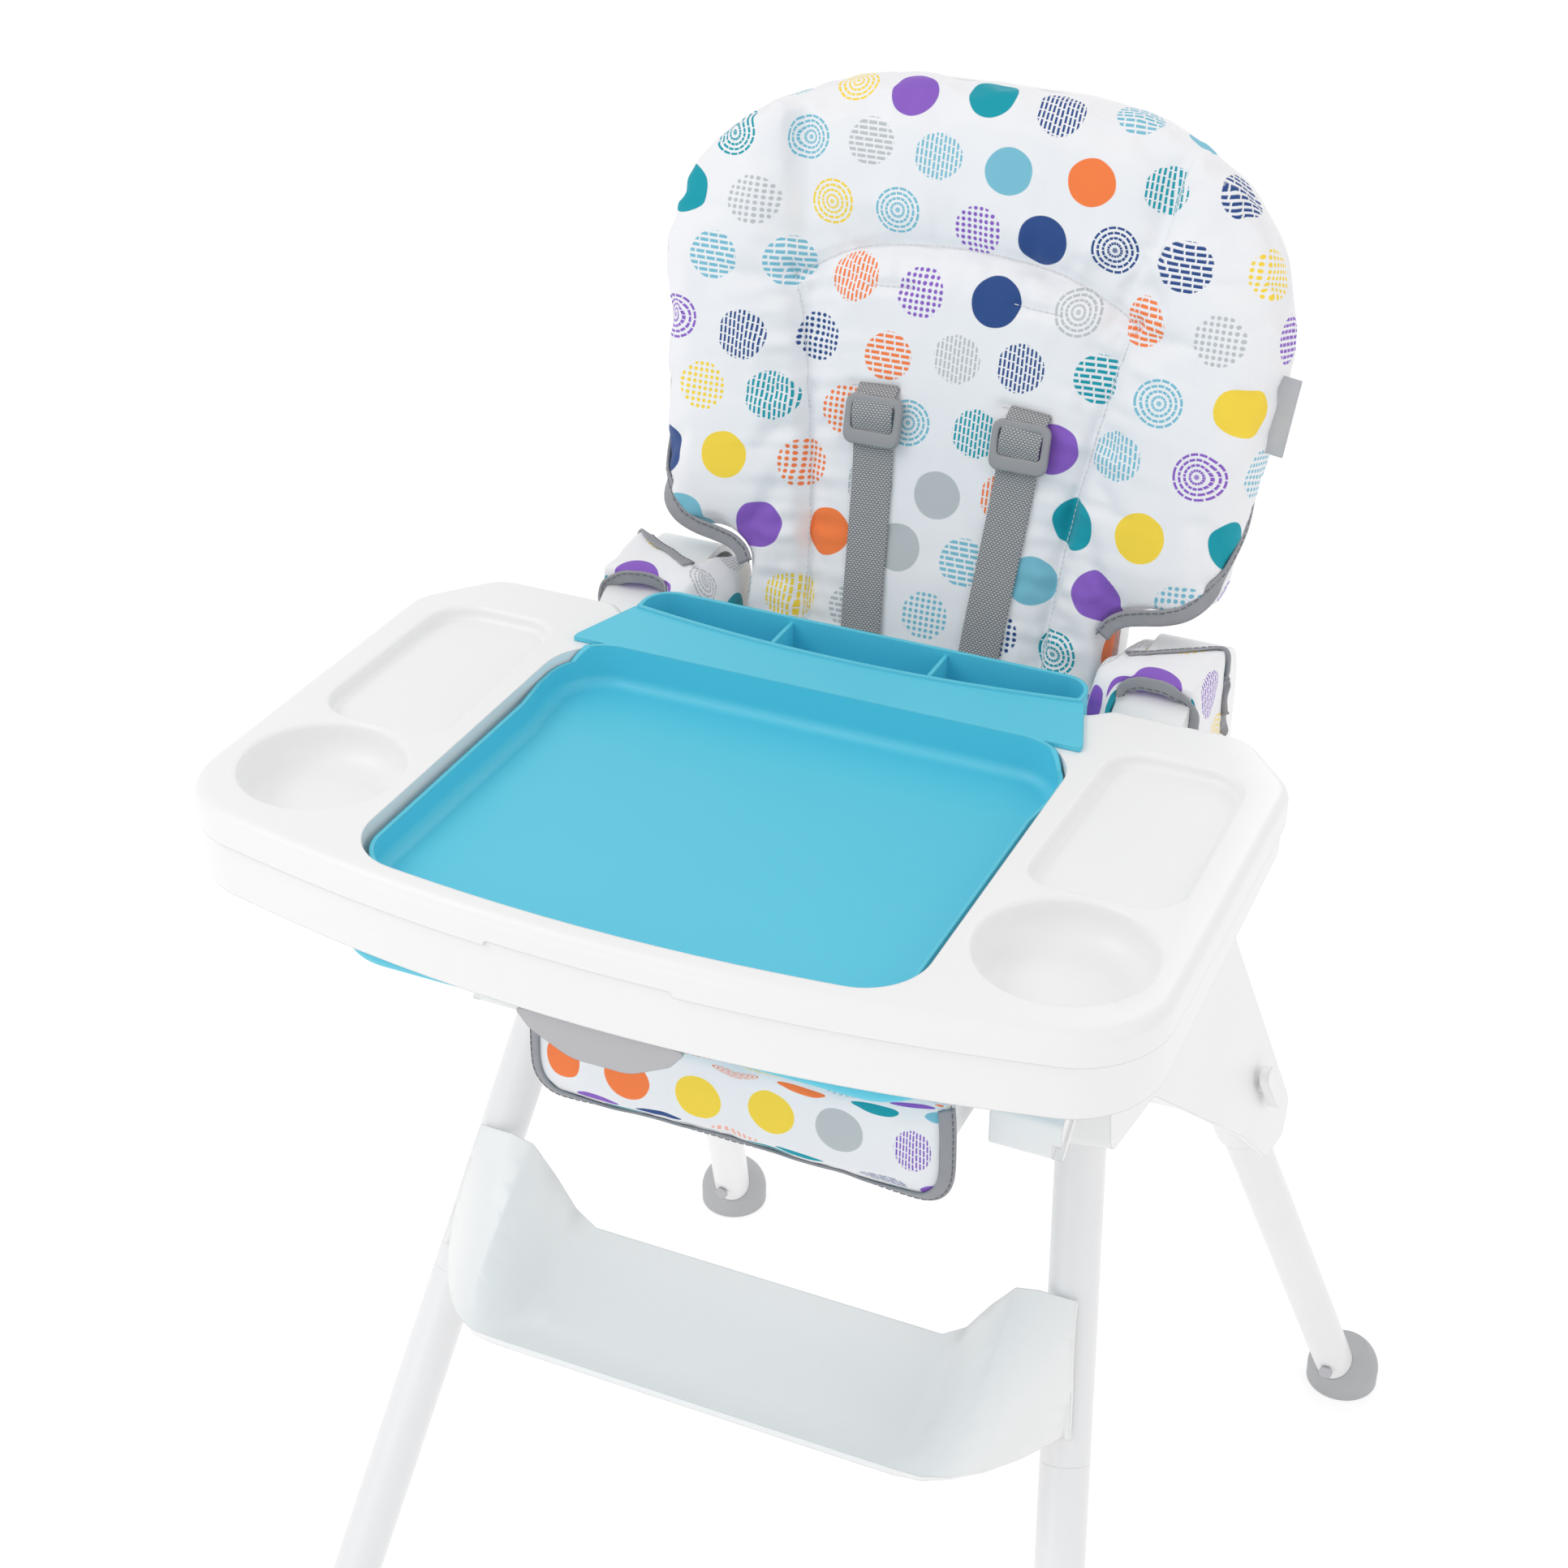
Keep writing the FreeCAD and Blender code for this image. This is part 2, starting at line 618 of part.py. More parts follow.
def foot(sign, rear):
    """A domed cup that the tube's end goes down into, with a collar round the tube."""
    centre = leg_axis_point(0, rear)
    profile = Part.Wire([
        Part.makeLine(Vector(0, 0, 0), Vector(FOOT_RADIUS - 2, 0, 0)),
        Part.Arc(Vector(FOOT_RADIUS - 2, 0, 0), Vector(FOOT_RADIUS - 0.6, 0, 0.6),
                 Vector(FOOT_RADIUS, 0, 2)).toShape(),
        Part.makeLine(Vector(FOOT_RADIUS, 0, 2), Vector(FOOT_RADIUS, 0, FOOT_RIM_HEIGHT)),
        Part.Arc(Vector(FOOT_RADIUS, 0, FOOT_RIM_HEIGHT),
                 Vector(FOOT_RADIUS - 2.2, 0, (FOOT_RIM_HEIGHT + FOOT_HEIGHT) / 2 + 2),
                 Vector(FOOT_TOP_RADIUS - 3, 0, FOOT_HEIGHT)).toShape(),
        Part.makeLine(Vector(FOOT_TOP_RADIUS - 3, 0, FOOT_HEIGHT), Vector(0, 0, FOOT_HEIGHT)),
        Part.makeLine(Vector(0, 0, FOOT_HEIGHT), Vector(0, 0, 0)),
    ])
    dome = Part.Face(profile).revolve(Vector(0, 0, 0), Vector(0, 0, 1), 360)
    dome.translate(centre)
    socket = rod(leg_axis_point(FOOT_SOLE, rear), along_leg(0, FOOT_HEIGHT * 3, rear),
                 LEG_RADIUS + SLIP_CLEARANCE)
    return on_side(dome.cut(socket), sign)


# ---------------------------------------------------------------- hub housings
def rear_leg_sweep():
    """The space that the folding rear leg and its bracket pass through inside a hub."""
    radius = BRACKET_RADIUS + SWEEP_CLEARANCE
    pivot_y = leg_y(PIVOT_Z)
    reach = side_drop(0) - side_drop(PIVOT_Z)
    rest = math.atan2(FOOT_Y - pivot_y, reach)
    folded = rest - math.radians(FOLD_ANGLE)
    drop = side_drop(PIVOT_Z)
    pivot = Vector(0, pivot_y, -drop)
    tools = []
    ends = []
    for angle in (rest, folded):
        end = pivot.add(Vector(0, math.sin(angle), -math.cos(angle)).multiply(reach))
        start = pivot.sub(Vector(0, math.sin(angle), -math.cos(angle)).multiply(REAR_LEG_ABOVE_PIVOT + 3))
        tools.append(rod(start, end, radius))
        ends.append(end)
    wedge_wire = Part.makePolygon([pivot, ends[0], ends[1], pivot])
    wedge = Part.Face(wedge_wire).extrude(Vector(HUB_GAP, 0, 0))
    wedge = wedge.fuse(Part.Face(wedge_wire).extrude(Vector(-HUB_GAP, 0, 0)))
    return [side_place(tool) for tool in tools] + [side_place(wedge)]


def hub_holes():
    holes = [side_rod(y, z, -HUB_GAP * 2, HUB_GAP * 2, HUB_SCREW_RADIUS + SLIP_CLEARANCE)
             for y, z in HUB_BOSSES]
    holes.append(side_rod(-leg_y(LEG_BOLT_Z), LEG_BOLT_Z, -HUB_GAP * 2, HUB_GAP * 2,
                          HUB_SCREW_RADIUS + SLIP_CLEARANCE))
    holes.append(pivot_pin(1, PIVOT_RADIUS + PIN_CLEARANCE, HUB_GAP * 2))
    return holes


def hub_outer(sign):
    plate = side_slab(HUB_OUTLINE, HUB_GAP, HUB_GAP + HUB_PLATE)
    core = side_slab(HUB_OUTLINE, -HUB_GAP, HUB_GAP)
    ring = rim_of(core)
    leg_space = rod(leg_axis_point(0, False), leg_axis_point(APEX_Z, False), LEG_RADIUS + SLIP_CLEARANCE)
    ring = cut(ring, [leg_space] + rear_leg_sweep())
    bosses = [side_rod(y, z, -HUB_GAP, HUB_GAP, HUB_BOSS_RADIUS) for y, z in HUB_BOSSES]
    shell = fuse([plate, ring] + bosses)
    lock_hole = side_rod(leg_y(LOCK_Z), LOCK_Z, 0, HUB_GAP * 2, LOCK_PIN_RADIUS + SLIP_CLEARANCE)
    return on_side(cut(shell, hub_holes() + [lock_hole]), sign)


def rim_of(core):
    """The outline's upright wall: the core without the same outline shrunk by the wall."""
    face = Part.Face(outline_wire(HUB_OUTLINE, lambda a, b: side_point(-HUB_GAP, a, b)))
    inner = face.makeOffset2D(-HUB_WALL).extrude(Vector(HUB_GAP * 2, 0, 0))
    return core.cut(side_place(inner))


def hub_inner(sign):
    plate = side_slab(HUB_INNER_OUTLINE, -HUB_GAP - HUB_PLATE, -HUB_GAP)
    return on_side(cut(plate, hub_holes()), sign)


def hub_screw(y, z, radius):
    """A screw right through both hub plates, with a head outside each."""
    outer = HUB_GAP + HUB_PLATE
    shank = side_rod(y, z, -outer, outer, radius)
    heads = [side_rod(y, z, outer, outer + SCREW_HEAD_HEIGHT, SCREW_HEAD_RADIUS),
             side_rod(y, z, -outer - SCREW_HEAD_HEIGHT, -outer, SCREW_HEAD_RADIUS)]
    return fuse([shank] + heads)


def hub_screws():
    places = HUB_BOSSES + [(-leg_y(LEG_BOLT_Z), LEG_BOLT_Z)]
    screws = []
    for y, z in places:
        for name, sign in SIDES:
            screws.append(on_side(hub_screw(y, z, HUB_SCREW_RADIUS), sign))
    return Part.Compound(screws)


def pivot_pins():
    pins = [pivot_pin(sign, PIVOT_RADIUS, pivot_half_length()) for name, sign in SIDES]
    return Part.Compound(pins)


def front_cross_tube():
    """A steel tube between the two hubs, under the front half of the seat."""
    reach = leg_x(FRONT_CROSS_Z) - (HUB_GAP + HUB_PLATE) / SPLAY_COS
    tilt = CROSS_TUBE_RADIUS * math.tan(math.radians(SPLAY))
    half = reach - tilt - SLIP_CLEARANCE
    start = Vector(-half, FRONT_CROSS_Y, FRONT_CROSS_Z)
    end = Vector(half, FRONT_CROSS_Y, FRONT_CROSS_Z)
    return pipe(start, end, CROSS_TUBE_RADIUS, CROSS_TUBE_RADIUS - LEG_WALL)


def rear_cross_axis():
    centre = leg_axis_point(REAR_CROSS_Z, True)
    return Vector(-centre.x, centre.y, centre.z), centre


def rear_cross_socket():
    start, end = rear_cross_axis()
    middle = Vector(0, start.y, start.z)
    return rod(middle, end, CROSS_TUBE_RADIUS + SLIP_CLEARANCE)


def rear_cross_tube():
    start, end = rear_cross_axis()
    inset = Vector(LEG_RADIUS - LEG_WALL, 0, 0)
    return pipe(start.add(inset), end.sub(inset), CROSS_TUBE_RADIUS, CROSS_TUBE_RADIUS - LEG_WALL)


# ---------------------------------------------------------------- rear leg brackets and fold locks
def lug_centre():
    z = (BRACKET_TOP_Z + BRACKET_TOP_Z - 2 * BRACKET_LUG_HALF_HEIGHT) / 2
    return leg_y(z) - BRACKET_LUG_REACH, z


def leg_bracket(sign):
    """A moulded sleeve round the rear leg, with a lug that points forward."""
    low = leg_axis_point(BRACKET_BOTTOM_Z, True)
    high = leg_axis_point(BRACKET_TOP_Z - BRACKET_LUG_HALF_HEIGHT, True)
    sleeve = rod(low, high, BRACKET_RADIUS)
    y, z = lug_centre()
    rise = BRACKET_LUG_HALF_HEIGHT
    lug_outline = [(y - rise, z + rise, rise - 0.1), (leg_y(z), z + rise, 0),
                   (leg_y(z), z - rise, 0), (y - rise, z - rise, rise - 0.1)]
    lug = side_slab(lug_outline, -BRACKET_LUG_HALF_THICKNESS, BRACKET_LUG_HALF_THICKNESS)
    body = fuse([sleeve, lug])
    leg_space = rod(leg_axis_point(0, True), leg_axis_point(APEX_Z, True), LEG_RADIUS + SLIP_CLEARANCE)
    rivet_hole = side_rod(y, z, -HUB_GAP, HUB_GAP, RIVET_RADIUS + SLIP_CLEARANCE)
    lock_hole = side_rod(leg_y(LOCK_Z), LOCK_Z, 0, HUB_GAP, LOCK_HOLE_RADIUS)
    return on_side(cut(body, [leg_space, rivet_hole, lock_hole, rear_cross_socket()]), sign)


def bracket_rivets():
    y, z = lug_centre()
    face = BRACKET_LUG_HALF_THICKNESS
    rivets = []
    for name, sign in SIDES:
        shank = side_rod(y, z, -face, face, RIVET_RADIUS)
        heads = [side_rod(y, z, face, face + 1.6, RIVET_RADIUS * 2),
                 side_rod(y, z, -face - 1.6, -face, RIVET_RADIUS * 2)]
        rivets.append(on_side(fuse([shank] + heads), sign))
    return Part.Compound(rivets)


def fold_button(sign):
    """The button outside the hub whose pin holds the rear leg open."""
    outer = HUB_GAP + HUB_PLATE
    y = leg_y(LOCK_Z)
    tip = BRACKET_RADIUS + SLIP_CLEARANCE + 1.2
    pin = side_rod(y, LOCK_Z, tip, outer + LOCK_TRAVEL + 0.5, LOCK_PIN_RADIUS)
    long = LOCK_CAP_HALF_LENGTH
    wide = LOCK_CAP_HALF_WIDTH
    slope = FOOT_Y / APEX_Z
    round_off = wide * 0.7
    corners = [(y - wide - slope * long, LOCK_Z + long, round_off),
               (y + wide - slope * long, LOCK_Z + long, round_off),
               (y + wide + slope * long, LOCK_Z - long, round_off),
               (y - wide + slope * long, LOCK_Z - long, round_off)]
    start = outer + LOCK_TRAVEL + 0.5
    cap = side_slab(corners, start, start + LOCK_CAP_HEIGHT)
    return on_side(fuse([pin, cap]), sign)


# ---------------------------------------------------------------- footrest
def blend_up(value, low, high):
    """0 below low, 1 above high, and a smooth rise between."""
    share = min(max((value - low) / (high - low), 0.0), 1.0)
    return share * share * (3 - 2 * share)


def leg_front_y(z):
    """Y of the front surface of a front leg at the height z."""
    return -leg_y(z) - LEG_FACE - REST_LEG_GAP - REST_WALL


def rest_profile(x):
    """Upper surface of the footrest at x, as (y, z) points from its back edge to its lip."""
    end = blend_up(abs(x), REST_FLAT_HALF, REST_END_HALF - REST_EASE)
    past = max(abs(x) - REST_LIP_HALF, 0.0) / (REST_END_HALF - REST_LIP_HALF)
    back_z = REST_BACK_Z + (REST_END_TOP_Z - REST_BACK_Z) * end
    back_y = REST_BACK_Y + (leg_front_y(REST_END_TOP_Z) - REST_BACK_Y) * end
    low_y = leg_front_y(REST_END_LOW_Z)
    lip_y = low_y + (REST_FRONT_Y - low_y) * max(1 - past * past, 0.0)
    lip_z = REST_FRONT_Z + (REST_END_LOW_Z - REST_FRONT_Z) * min(past, 1.0)
    points = []
    for share in (0.0, 0.12, 0.26, 0.42, 0.58, 0.74, 0.88, 1.0):
        dip = REST_DIP * math.sin(math.pi * share) * (1 - end)
        y = back_y + (lip_y - back_y) * share
        straight = back_z + (lip_z - back_z) * share
        points.append((y, straight - dip))
    return points


def rest_section(x):
    """The closed outline of the footrest at x: its profile and the same profile one wall lower."""
    top = rest_profile(x)
    low = []
    for i in range(len(top)):
        ahead = top[min(i + 1, len(top) - 1)]
        behind = top[max(i - 1, 0)]
        length = math.hypot(ahead[0] - behind[0], ahead[1] - behind[1])
        normal = ((ahead[1] - behind[1]) / length, -(ahead[0] - behind[0]) / length)
        low.append((top[i][0] - normal[0] * REST_WALL, top[i][1] - normal[1] * REST_WALL))
    loop = top + low[::-1]
    points = [Vector(x, y, z) for y, z in loop]
    return Part.makePolygon(points + [points[0]])


def footrest():
    """A scoop between the front legs whose ends rise and lie against the legs' fronts."""
    between = [REST_LIP_HALF + REST_STATION * step for step in range(5)]
    stations = [0.0, REST_FLAT_HALF] + between + [REST_END_HALF, REST_END_HALF + REST_STATION]
    half = Part.makeLoft([rest_section(x) for x in stations], True, True)
    beyond = LEG_RADIUS * 4
    trim = side_place(Part.makeBox(beyond, FOOT_Y * 2, side_drop(0),
                                   Vector(REST_EDGE_BEYOND_LEG, -FOOT_Y * 2, -side_drop(0))))
    half = half.cut(trim)
    leg_space = rod(leg_axis_point(0, False), leg_axis_point(APEX_Z, False), LEG_RADIUS + REST_LEG_GAP)
    half = cut(half, [leg_space] + footrest_screw_holes())
    return half.fuse(mirror_x(half)).removeSplitter()


def rest_screw_head_y():
    """How far behind the leg's axis the screw's head sits."""
    return LEG_FACE + SCREW_HEAD_RADIUS * math.tan(LEG_SLOPE) + SLIP_CLEARANCE * 2


def footrest_screw_rod(z, radius):
    """The line of a footrest screw: from behind the leg, through it, into the footrest's wall."""
    centre = leg_axis_point(z, False)
    start = centre.add(Vector(0, rest_screw_head_y(), 0))
    end = centre.sub(Vector(0, LEG_FACE + REST_LEG_GAP + REST_WALL * 0.6, 0))
    return rod(start, end, radius)


def footrest_screws():
    """Two screws a side that hold the footrest's raised ends against the legs."""
    screws = []
    for name, sign in SIDES:
        for z in REST_SCREW_HEIGHTS:
            head_start = leg_axis_point(z, False).add(Vector(0, rest_screw_head_y(), 0))
            head_end = head_start.add(Vector(0, SCREW_HEAD_HEIGHT, 0))
            head = rod(head_start, head_end, SCREW_HEAD_RADIUS)
            screws.append(on_side(fuse([footrest_screw_rod(z, RIVET_RADIUS), head]), sign))
    return Part.Compound(screws)


# ---------------------------------------------------------------- seat
def hinge_rod(x0, x1, radius):
    return rod(Vector(x0, HINGE_Y, HINGE_Z), Vector(x1, HINGE_Y, HINGE_Z), radius)


def seat_pan():
    """Floor, low front lip, side walls with hinge holes, and the flanges that the arms sit on."""
    low = PAN_FLOOR_Z - PAN_WALL
    floor_rear = HINGE_Y - HINGE_BOSS_RADIUS - PAN_WALL * 2
    floor = box(-PAN_HALF, PAN_HALF, PAN_FRONT_Y, floor_rear, low, PAN_FLOOR_Z)
    lip = box(-PAN_HALF, PAN_HALF, PAN_FRONT_Y, PAN_FRONT_Y + PAN_WALL, low, PAN_LIP_Z)
    wall_outline = [(PAN_FRONT_Y, low, 0), (PAN_REAR_Y, low, 12.0), (PAN_REAR_Y, FLANGE_TOP_Z, 0),
                    (PAN_SLOPE_Y, FLANGE_TOP_Z, PAN_SHOULDER), (PAN_FRONT_Y, PAN_LIP_Z, 4.0)]
    parts = [floor, lip]
    for name, sign in SIDES:
        wall = slab_yz(wall_outline, PAN_HALF - PAN_WALL, PAN_HALF)
        flange = box(PAN_HALF - PAN_WALL, FLANGE_OUTER_X, FLANGE_FRONT_Y, ARM_LOW_REAR_Y,
                     FLANGE_LOW_Z, FLANGE_TOP_Z)
        parts += [on_side(wall, sign), on_side(flange, sign)]
    holes = [hinge_rod(-PAN_HALF * 1.2, PAN_HALF * 1.2, HINGE_RADIUS + PIN_CLEARANCE), strap_slot()]
    for name, sign in SIDES:
        holes += [on_side(seat_screw_hole(y), sign) for y in SEAT_SCREW_Y]
        holes += [on_side(notch, sign) for notch in recline_notches()]
    return cut(fuse(parts), holes)


def strap_slot():
    """The slit through the floor and its pad that the crotch webbing comes up through."""
    half = STRAP_WIDTH / 2 + SOFT_GAP
    return box(-half, half, CROTCH_SLOT_Y - SOFT_GAP, CROTCH_SLOT_Y + STRAP_THICK + SOFT_GAP,
               PAN_FLOOR_Z - PAN_WALL * 2, PAN_FLOOR_Z + SEAT_PAD_THICK * 2)


def seat_screw_rod(y, radius):
    """The upright line of a screw through the arm's foot and the pan's flange."""
    top = Vector(SEAT_SCREW_X, y, FLANGE_TOP_Z + ARM_WALL)
    return rod(Vector(SEAT_SCREW_X, y, FLANGE_LOW_Z), top, radius)


def seat_screw_hole(y):
    return seat_screw_rod(y, SEAT_SCREW_RADIUS + SLIP_CLEARANCE)


def recline_notches():
    """Shallow notches in a side wall, one for the latch bar at each recline position."""
    notches = []
    face = PAN_HALF - PAN_WALL
    for step in range(RECLINE_STEPS + 1):
        start = Vector(face - 1, LATCH_N, LATCH_BAR_T)
        end = Vector(face + RECLINE_NOTCH_DEPTH, LATCH_N, LATCH_BAR_T)
        notch = back_place(rod(start, end, LATCH_ROD_RADIUS + LATCH_BAR_GAP))
        angle = RECLINE_ANGLE * step / RECLINE_STEPS
        notch.rotate(Vector(0, HINGE_Y, HINGE_Z), Vector(1, 0, 0), -angle)
        notches.append(notch)
    return notches


def arm_top_z(y):
    """Height of the arm's top edge, flat at the rear and sloping down to the front."""
    return ARM_TOP_Z + min(y - ARM_BREAK_Y, 0.0) * GROOVE_SLOPE


def groove_z(y):
    """Height of the middle of the slide groove, which runs parallel to the arm's slope."""
    drop = GROOVE_BELOW_TOP / math.cos(math.radians(SLIDE_ANGLE))
    return ARM_TOP_Z + (y - ARM_BREAK_Y) * GROOVE_SLOPE - drop


def arm_outline(inset):
    """The arm seen from the side, shrunk by inset for its hollow."""
    top = ARM_TOP_Z - inset
    low = FLANGE_TOP_Z + inset
    rear = ARM_REAR_Y - inset
    front = ARM_FRONT_Y + inset
    front_top = arm_top_z(front) - inset / SLIDE_COS
    front_low = arm_top_z(front) - ARM_FRONT_DEPTH + inset / SLIDE_COS
    break_y = ARM_LOW_BREAK_Y + inset * 0.4
    return [
        (ARM_BREAK_Y - inset * 0.4, top, 40.0), (rear, top, 30.0 - inset), (rear, 664.0, 20.0),
        (ARM_LOW_REAR_Y, low, 12.0), (break_y, low, 20.0), (front, front_low, 5.0), (front, front_top, 5.0),
    ]


def groove_bar(x0, x1, y0, y1, width):
    """A bar along the slide direction between two Y stations, centred on the groove."""
    start = Vector(0, y0, groove_z(y0))
    end = Vector(0, y1, groove_z(y1))
    along = end.sub(start).normalize()
    side = Vector(0, -along.z, along.y).multiply(width / 2.0)
    corners = [start.add(side), end.add(side), end.sub(side), start.sub(side)]
    points = [Vector(x0, p.y, p.z) for p in corners]
    return Part.Face(Part.makePolygon(points + [points[0]])).extrude(Vector(x1 - x0, 0, 0))


def notch_places():
    """The tray pin's place at each of the tray's positions."""
    places = []
    for step in range(SLIDE_STEPS + 1):
        y = PIN_Y - SLIDE_STEP * step * SLIDE_COS
        places.append(Vector(0, y, groove_z(y)))
    return places


def arm(sign):
    """A moulded arm, open towards the seat, with the tray's slide groove in its outer face."""
    solid = slab_yz(arm_outline(0.0), ARM_INNER_X, ARM_OUTER_X)
    hollow = slab_yz(arm_outline(ARM_WALL), ARM_INNER_X - 1, ARM_OUTER_X - ARM_GROOVE_SIDE_WALL)
    bottom = ARM_OUTER_X - GROOVE_DEPTH
    groove = groove_bar(bottom, ARM_OUTER_X + 1, ARM_FRONT_Y - ARM_WALL, GROOVE_REAR_Y, GROOVE_WIDTH)
    notches = []
    for place in notch_places():
        start = Vector(bottom - NOTCH_DEPTH, place.y, place.z)
        end = Vector(ARM_OUTER_X, place.y, place.z)
        notches.append(rod(start, end, NOTCH_RADIUS))
    screws = [seat_screw_hole(y) for y in SEAT_SCREW_Y]
    return on_side(cut(solid, [hollow, groove] + notches + screws), sign)


def seat_screws():
    """Screws down through the arms' feet into the pan's flanges."""
    screws = []
    head_z = FLANGE_TOP_Z + ARM_WALL
    for name, sign in SIDES:
        for y in SEAT_SCREW_Y:
            head = rod(Vector(SEAT_SCREW_X, y, head_z), Vector(SEAT_SCREW_X, y, head_z + SCREW_HEAD_HEIGHT),
                       SCREW_HEAD_RADIUS)
            screws.append(on_side(fuse([seat_screw_rod(y, SEAT_SCREW_RADIUS), head]), sign))
    return Part.Compound(screws)


def hinge_pins():
    """Pins through the pan's walls and the back shell's lugs, headed outside."""
    pins = []
    for name, sign in SIDES:
        shank = hinge_rod(BACK_LOWER_HALF - SHELL_RIM_WALL * 2, PAN_HALF, HINGE_RADIUS)
        head = hinge_rod(PAN_HALF, PAN_HALF + SCREW_HEAD_HEIGHT, HINGE_RADIUS * 1.8)
        pins.append(on_side(fuse([shank, head]), sign))
    return Part.Compound(pins)


# ---------------------------------------------------------------- back
def back_place(shape):
    """Lay a shape drawn as (x, n rearward, t up) about the hinge into the tilted back."""
    moved = shape.copy()
    moved.Placement = Placement(Vector(0, HINGE_Y, HINGE_Z), Rotation(Vector(1, 0, 0), -BACK_TILT))
    return moved


def back_slab(corners, n0, n1):
    return slab(corners, lambda a, b: Vector(a, n0, b), Vector(0, n1 - n0, 0))


def both_sides(half):
    """A closed outline from its right-hand half, given from the bottom to the top."""
    left = [(-x, t, r) for x, t, r in reversed(half)]
    return half + left


def shell_outline(inset):
    """The back's outline from behind, drawn in by SHELL_INSET and by inset again."""
    inward = SHELL_INSET + inset
    lower = BACK_LOWER_HALF - inset
    half = [(lower, BACK_BOTTOM_T + inset, 10.0), (lower, BACK_NECK_T, 20.0)]
    half.append((WING_OUTLINE[0][0] - inset, WING_OUTLINE[0][1] + inward, WING_OUTLINE[0][2]))
    half.append((WING_OUTLINE[1][0] - inward, WING_OUTLINE[1][1] + inward, WING_OUTLINE[1][2]))
    for x, t, r in WING_OUTLINE[2:4]:
        half.append((x - inward, t, r))
    for x, t, r in WING_OUTLINE[4:]:
        half.append((x - inward * 0.8, t - inward * 0.6, r))
    for x, t, r in CROWN_LINE:
        half.append((x - inward * 0.3, t - inward, r))
    return both_sides(half)


def back_shell():
    """A thin moulded panel with a rim to the rear and lugs on the hinge line."""
    panel = back_slab(shell_outline(0.0), SHELL_FRONT_N, SHELL_FRONT_N + SHELL_WALL)
    rim_outer = back_slab(shell_outline(0.0), SHELL_FRONT_N, SHELL_FRONT_N + SHELL_RIM)
    rim_inner = back_slab(shell_outline(SHELL_RIM_WALL), SHELL_FRONT_N - 1, SHELL_FRONT_N + SHELL_RIM + 1)
    rim = rim_outer.cut(rim_inner)
    lugs = []
    inner = BACK_LOWER_HALF - SHELL_RIM_WALL * 2
    for name, sign in SIDES:
        disc = rod(Vector(inner, 0, 0), Vector(BACK_LOWER_HALF, 0, 0), HINGE_BOSS_RADIUS)
        arm_plate = box(inner, BACK_LOWER_HALF, SHELL_FRONT_N, HINGE_BOSS_RADIUS * 0.8, 0, LUG_TOP_T)
        lugs.append(on_side(fuse([disc, arm_plate]), sign))
    guides = []
    for t in GUIDE_T:
        guide = box(LATCH_ROD_X - GUIDE_HALF, LATCH_ROD_X + GUIDE_HALF, SHELL_FRONT_N,
                    LATCH_N + LATCH_ROD_RADIUS + SHELL_WALL, t, t + GUIDE_HEIGHT)
        bore = rod(Vector(LATCH_ROD_X, LATCH_N, t - 1), Vector(LATCH_ROD_X, LATCH_N, t + GUIDE_HEIGHT + 1),
                   LATCH_ROD_RADIUS + GUIDE_CLEARANCE)
        guides += [guide.cut(bore), mirror_x(guide.cut(bore))]
    shell = fuse([panel, rim] + lugs + guides)
    bore = rod(Vector(-PAN_HALF, 0, 0), Vector(PAN_HALF, 0, 0), HINGE_RADIUS + PIN_CLEARANCE)
    slots = [on_side(box(STRAP_TOP_X - STRAP_WIDTH / 2 - 2, STRAP_TOP_X + STRAP_WIDTH / 2 + 2,
                         SHELL_FRONT_N - 1, SHELL_FRONT_N + SHELL_WALL + 1,
                         STRAP_TOP_T - 4, STRAP_TOP_T + 4), sign) for name, sign in SIDES]
    return back_place(cut(shell, [bore] + slots))


def back_pad():
    """The middle panel of the padded cover, between the two seams."""
    gap = SEAM_GAP / 2
    half = [(SEAM_LINE[0][0] - gap, SEAM_LINE[0][1], 6.0)]
    half += [(x - gap, t, 30.0) for x, t in SEAM_LINE[1:5]]
    half += [(SEAM_LINE[5][0] - gap, SEAM_LINE[5][1], 0.0)] + CROWN_LINE
    return back_place(back_slab(both_sides(half), PAD_FRONT_N, PAD_REAR_N))


def wing(sign):
    """A side bolster of the cover, from its seam to the outline of the back."""
    gap = SEAM_GAP / 2
    outer = [(BACK_LOWER_HALF - 1.0, SEAM_LINE[0][1], 6.0), (BACK_LOWER_HALF - 1.0, BACK_NECK_T, 12.0)]
    outer += WING_OUTLINE
    seam = [(SEAM_LINE[5][0] + gap, SEAM_LINE[5][1], 0.0)]
    seam += [(x + gap, t, 30.0) for x, t in reversed(SEAM_LINE[1:5])]
    seam.append((SEAM_LINE[0][0] + gap, SEAM_LINE[0][1], 6.0))
    piece = back_slab(outer + seam, WING_FRONT_N, PAD_REAR_N)
    return on_side(back_place(piece), sign)


def shoulder_strap(sign):
    """The webbing down the front of the back, from its slot towards the buckle."""
    n1 = PAD_FRONT_N - SOFT_GAP
    half = STRAP_WIDTH / 2
    corners = [(STRAP_LOW_X - half, STRAP_LOW_T, 0), (STRAP_LOW_X + half, STRAP_LOW_T, 0),
               (STRAP_TOP_X + half, STRAP_TOP_T, 0), (STRAP_TOP_X - half, STRAP_TOP_T, 0)]
    return on_side(back_place(back_slab(corners, n1 - STRAP_THICK, n1)), sign)


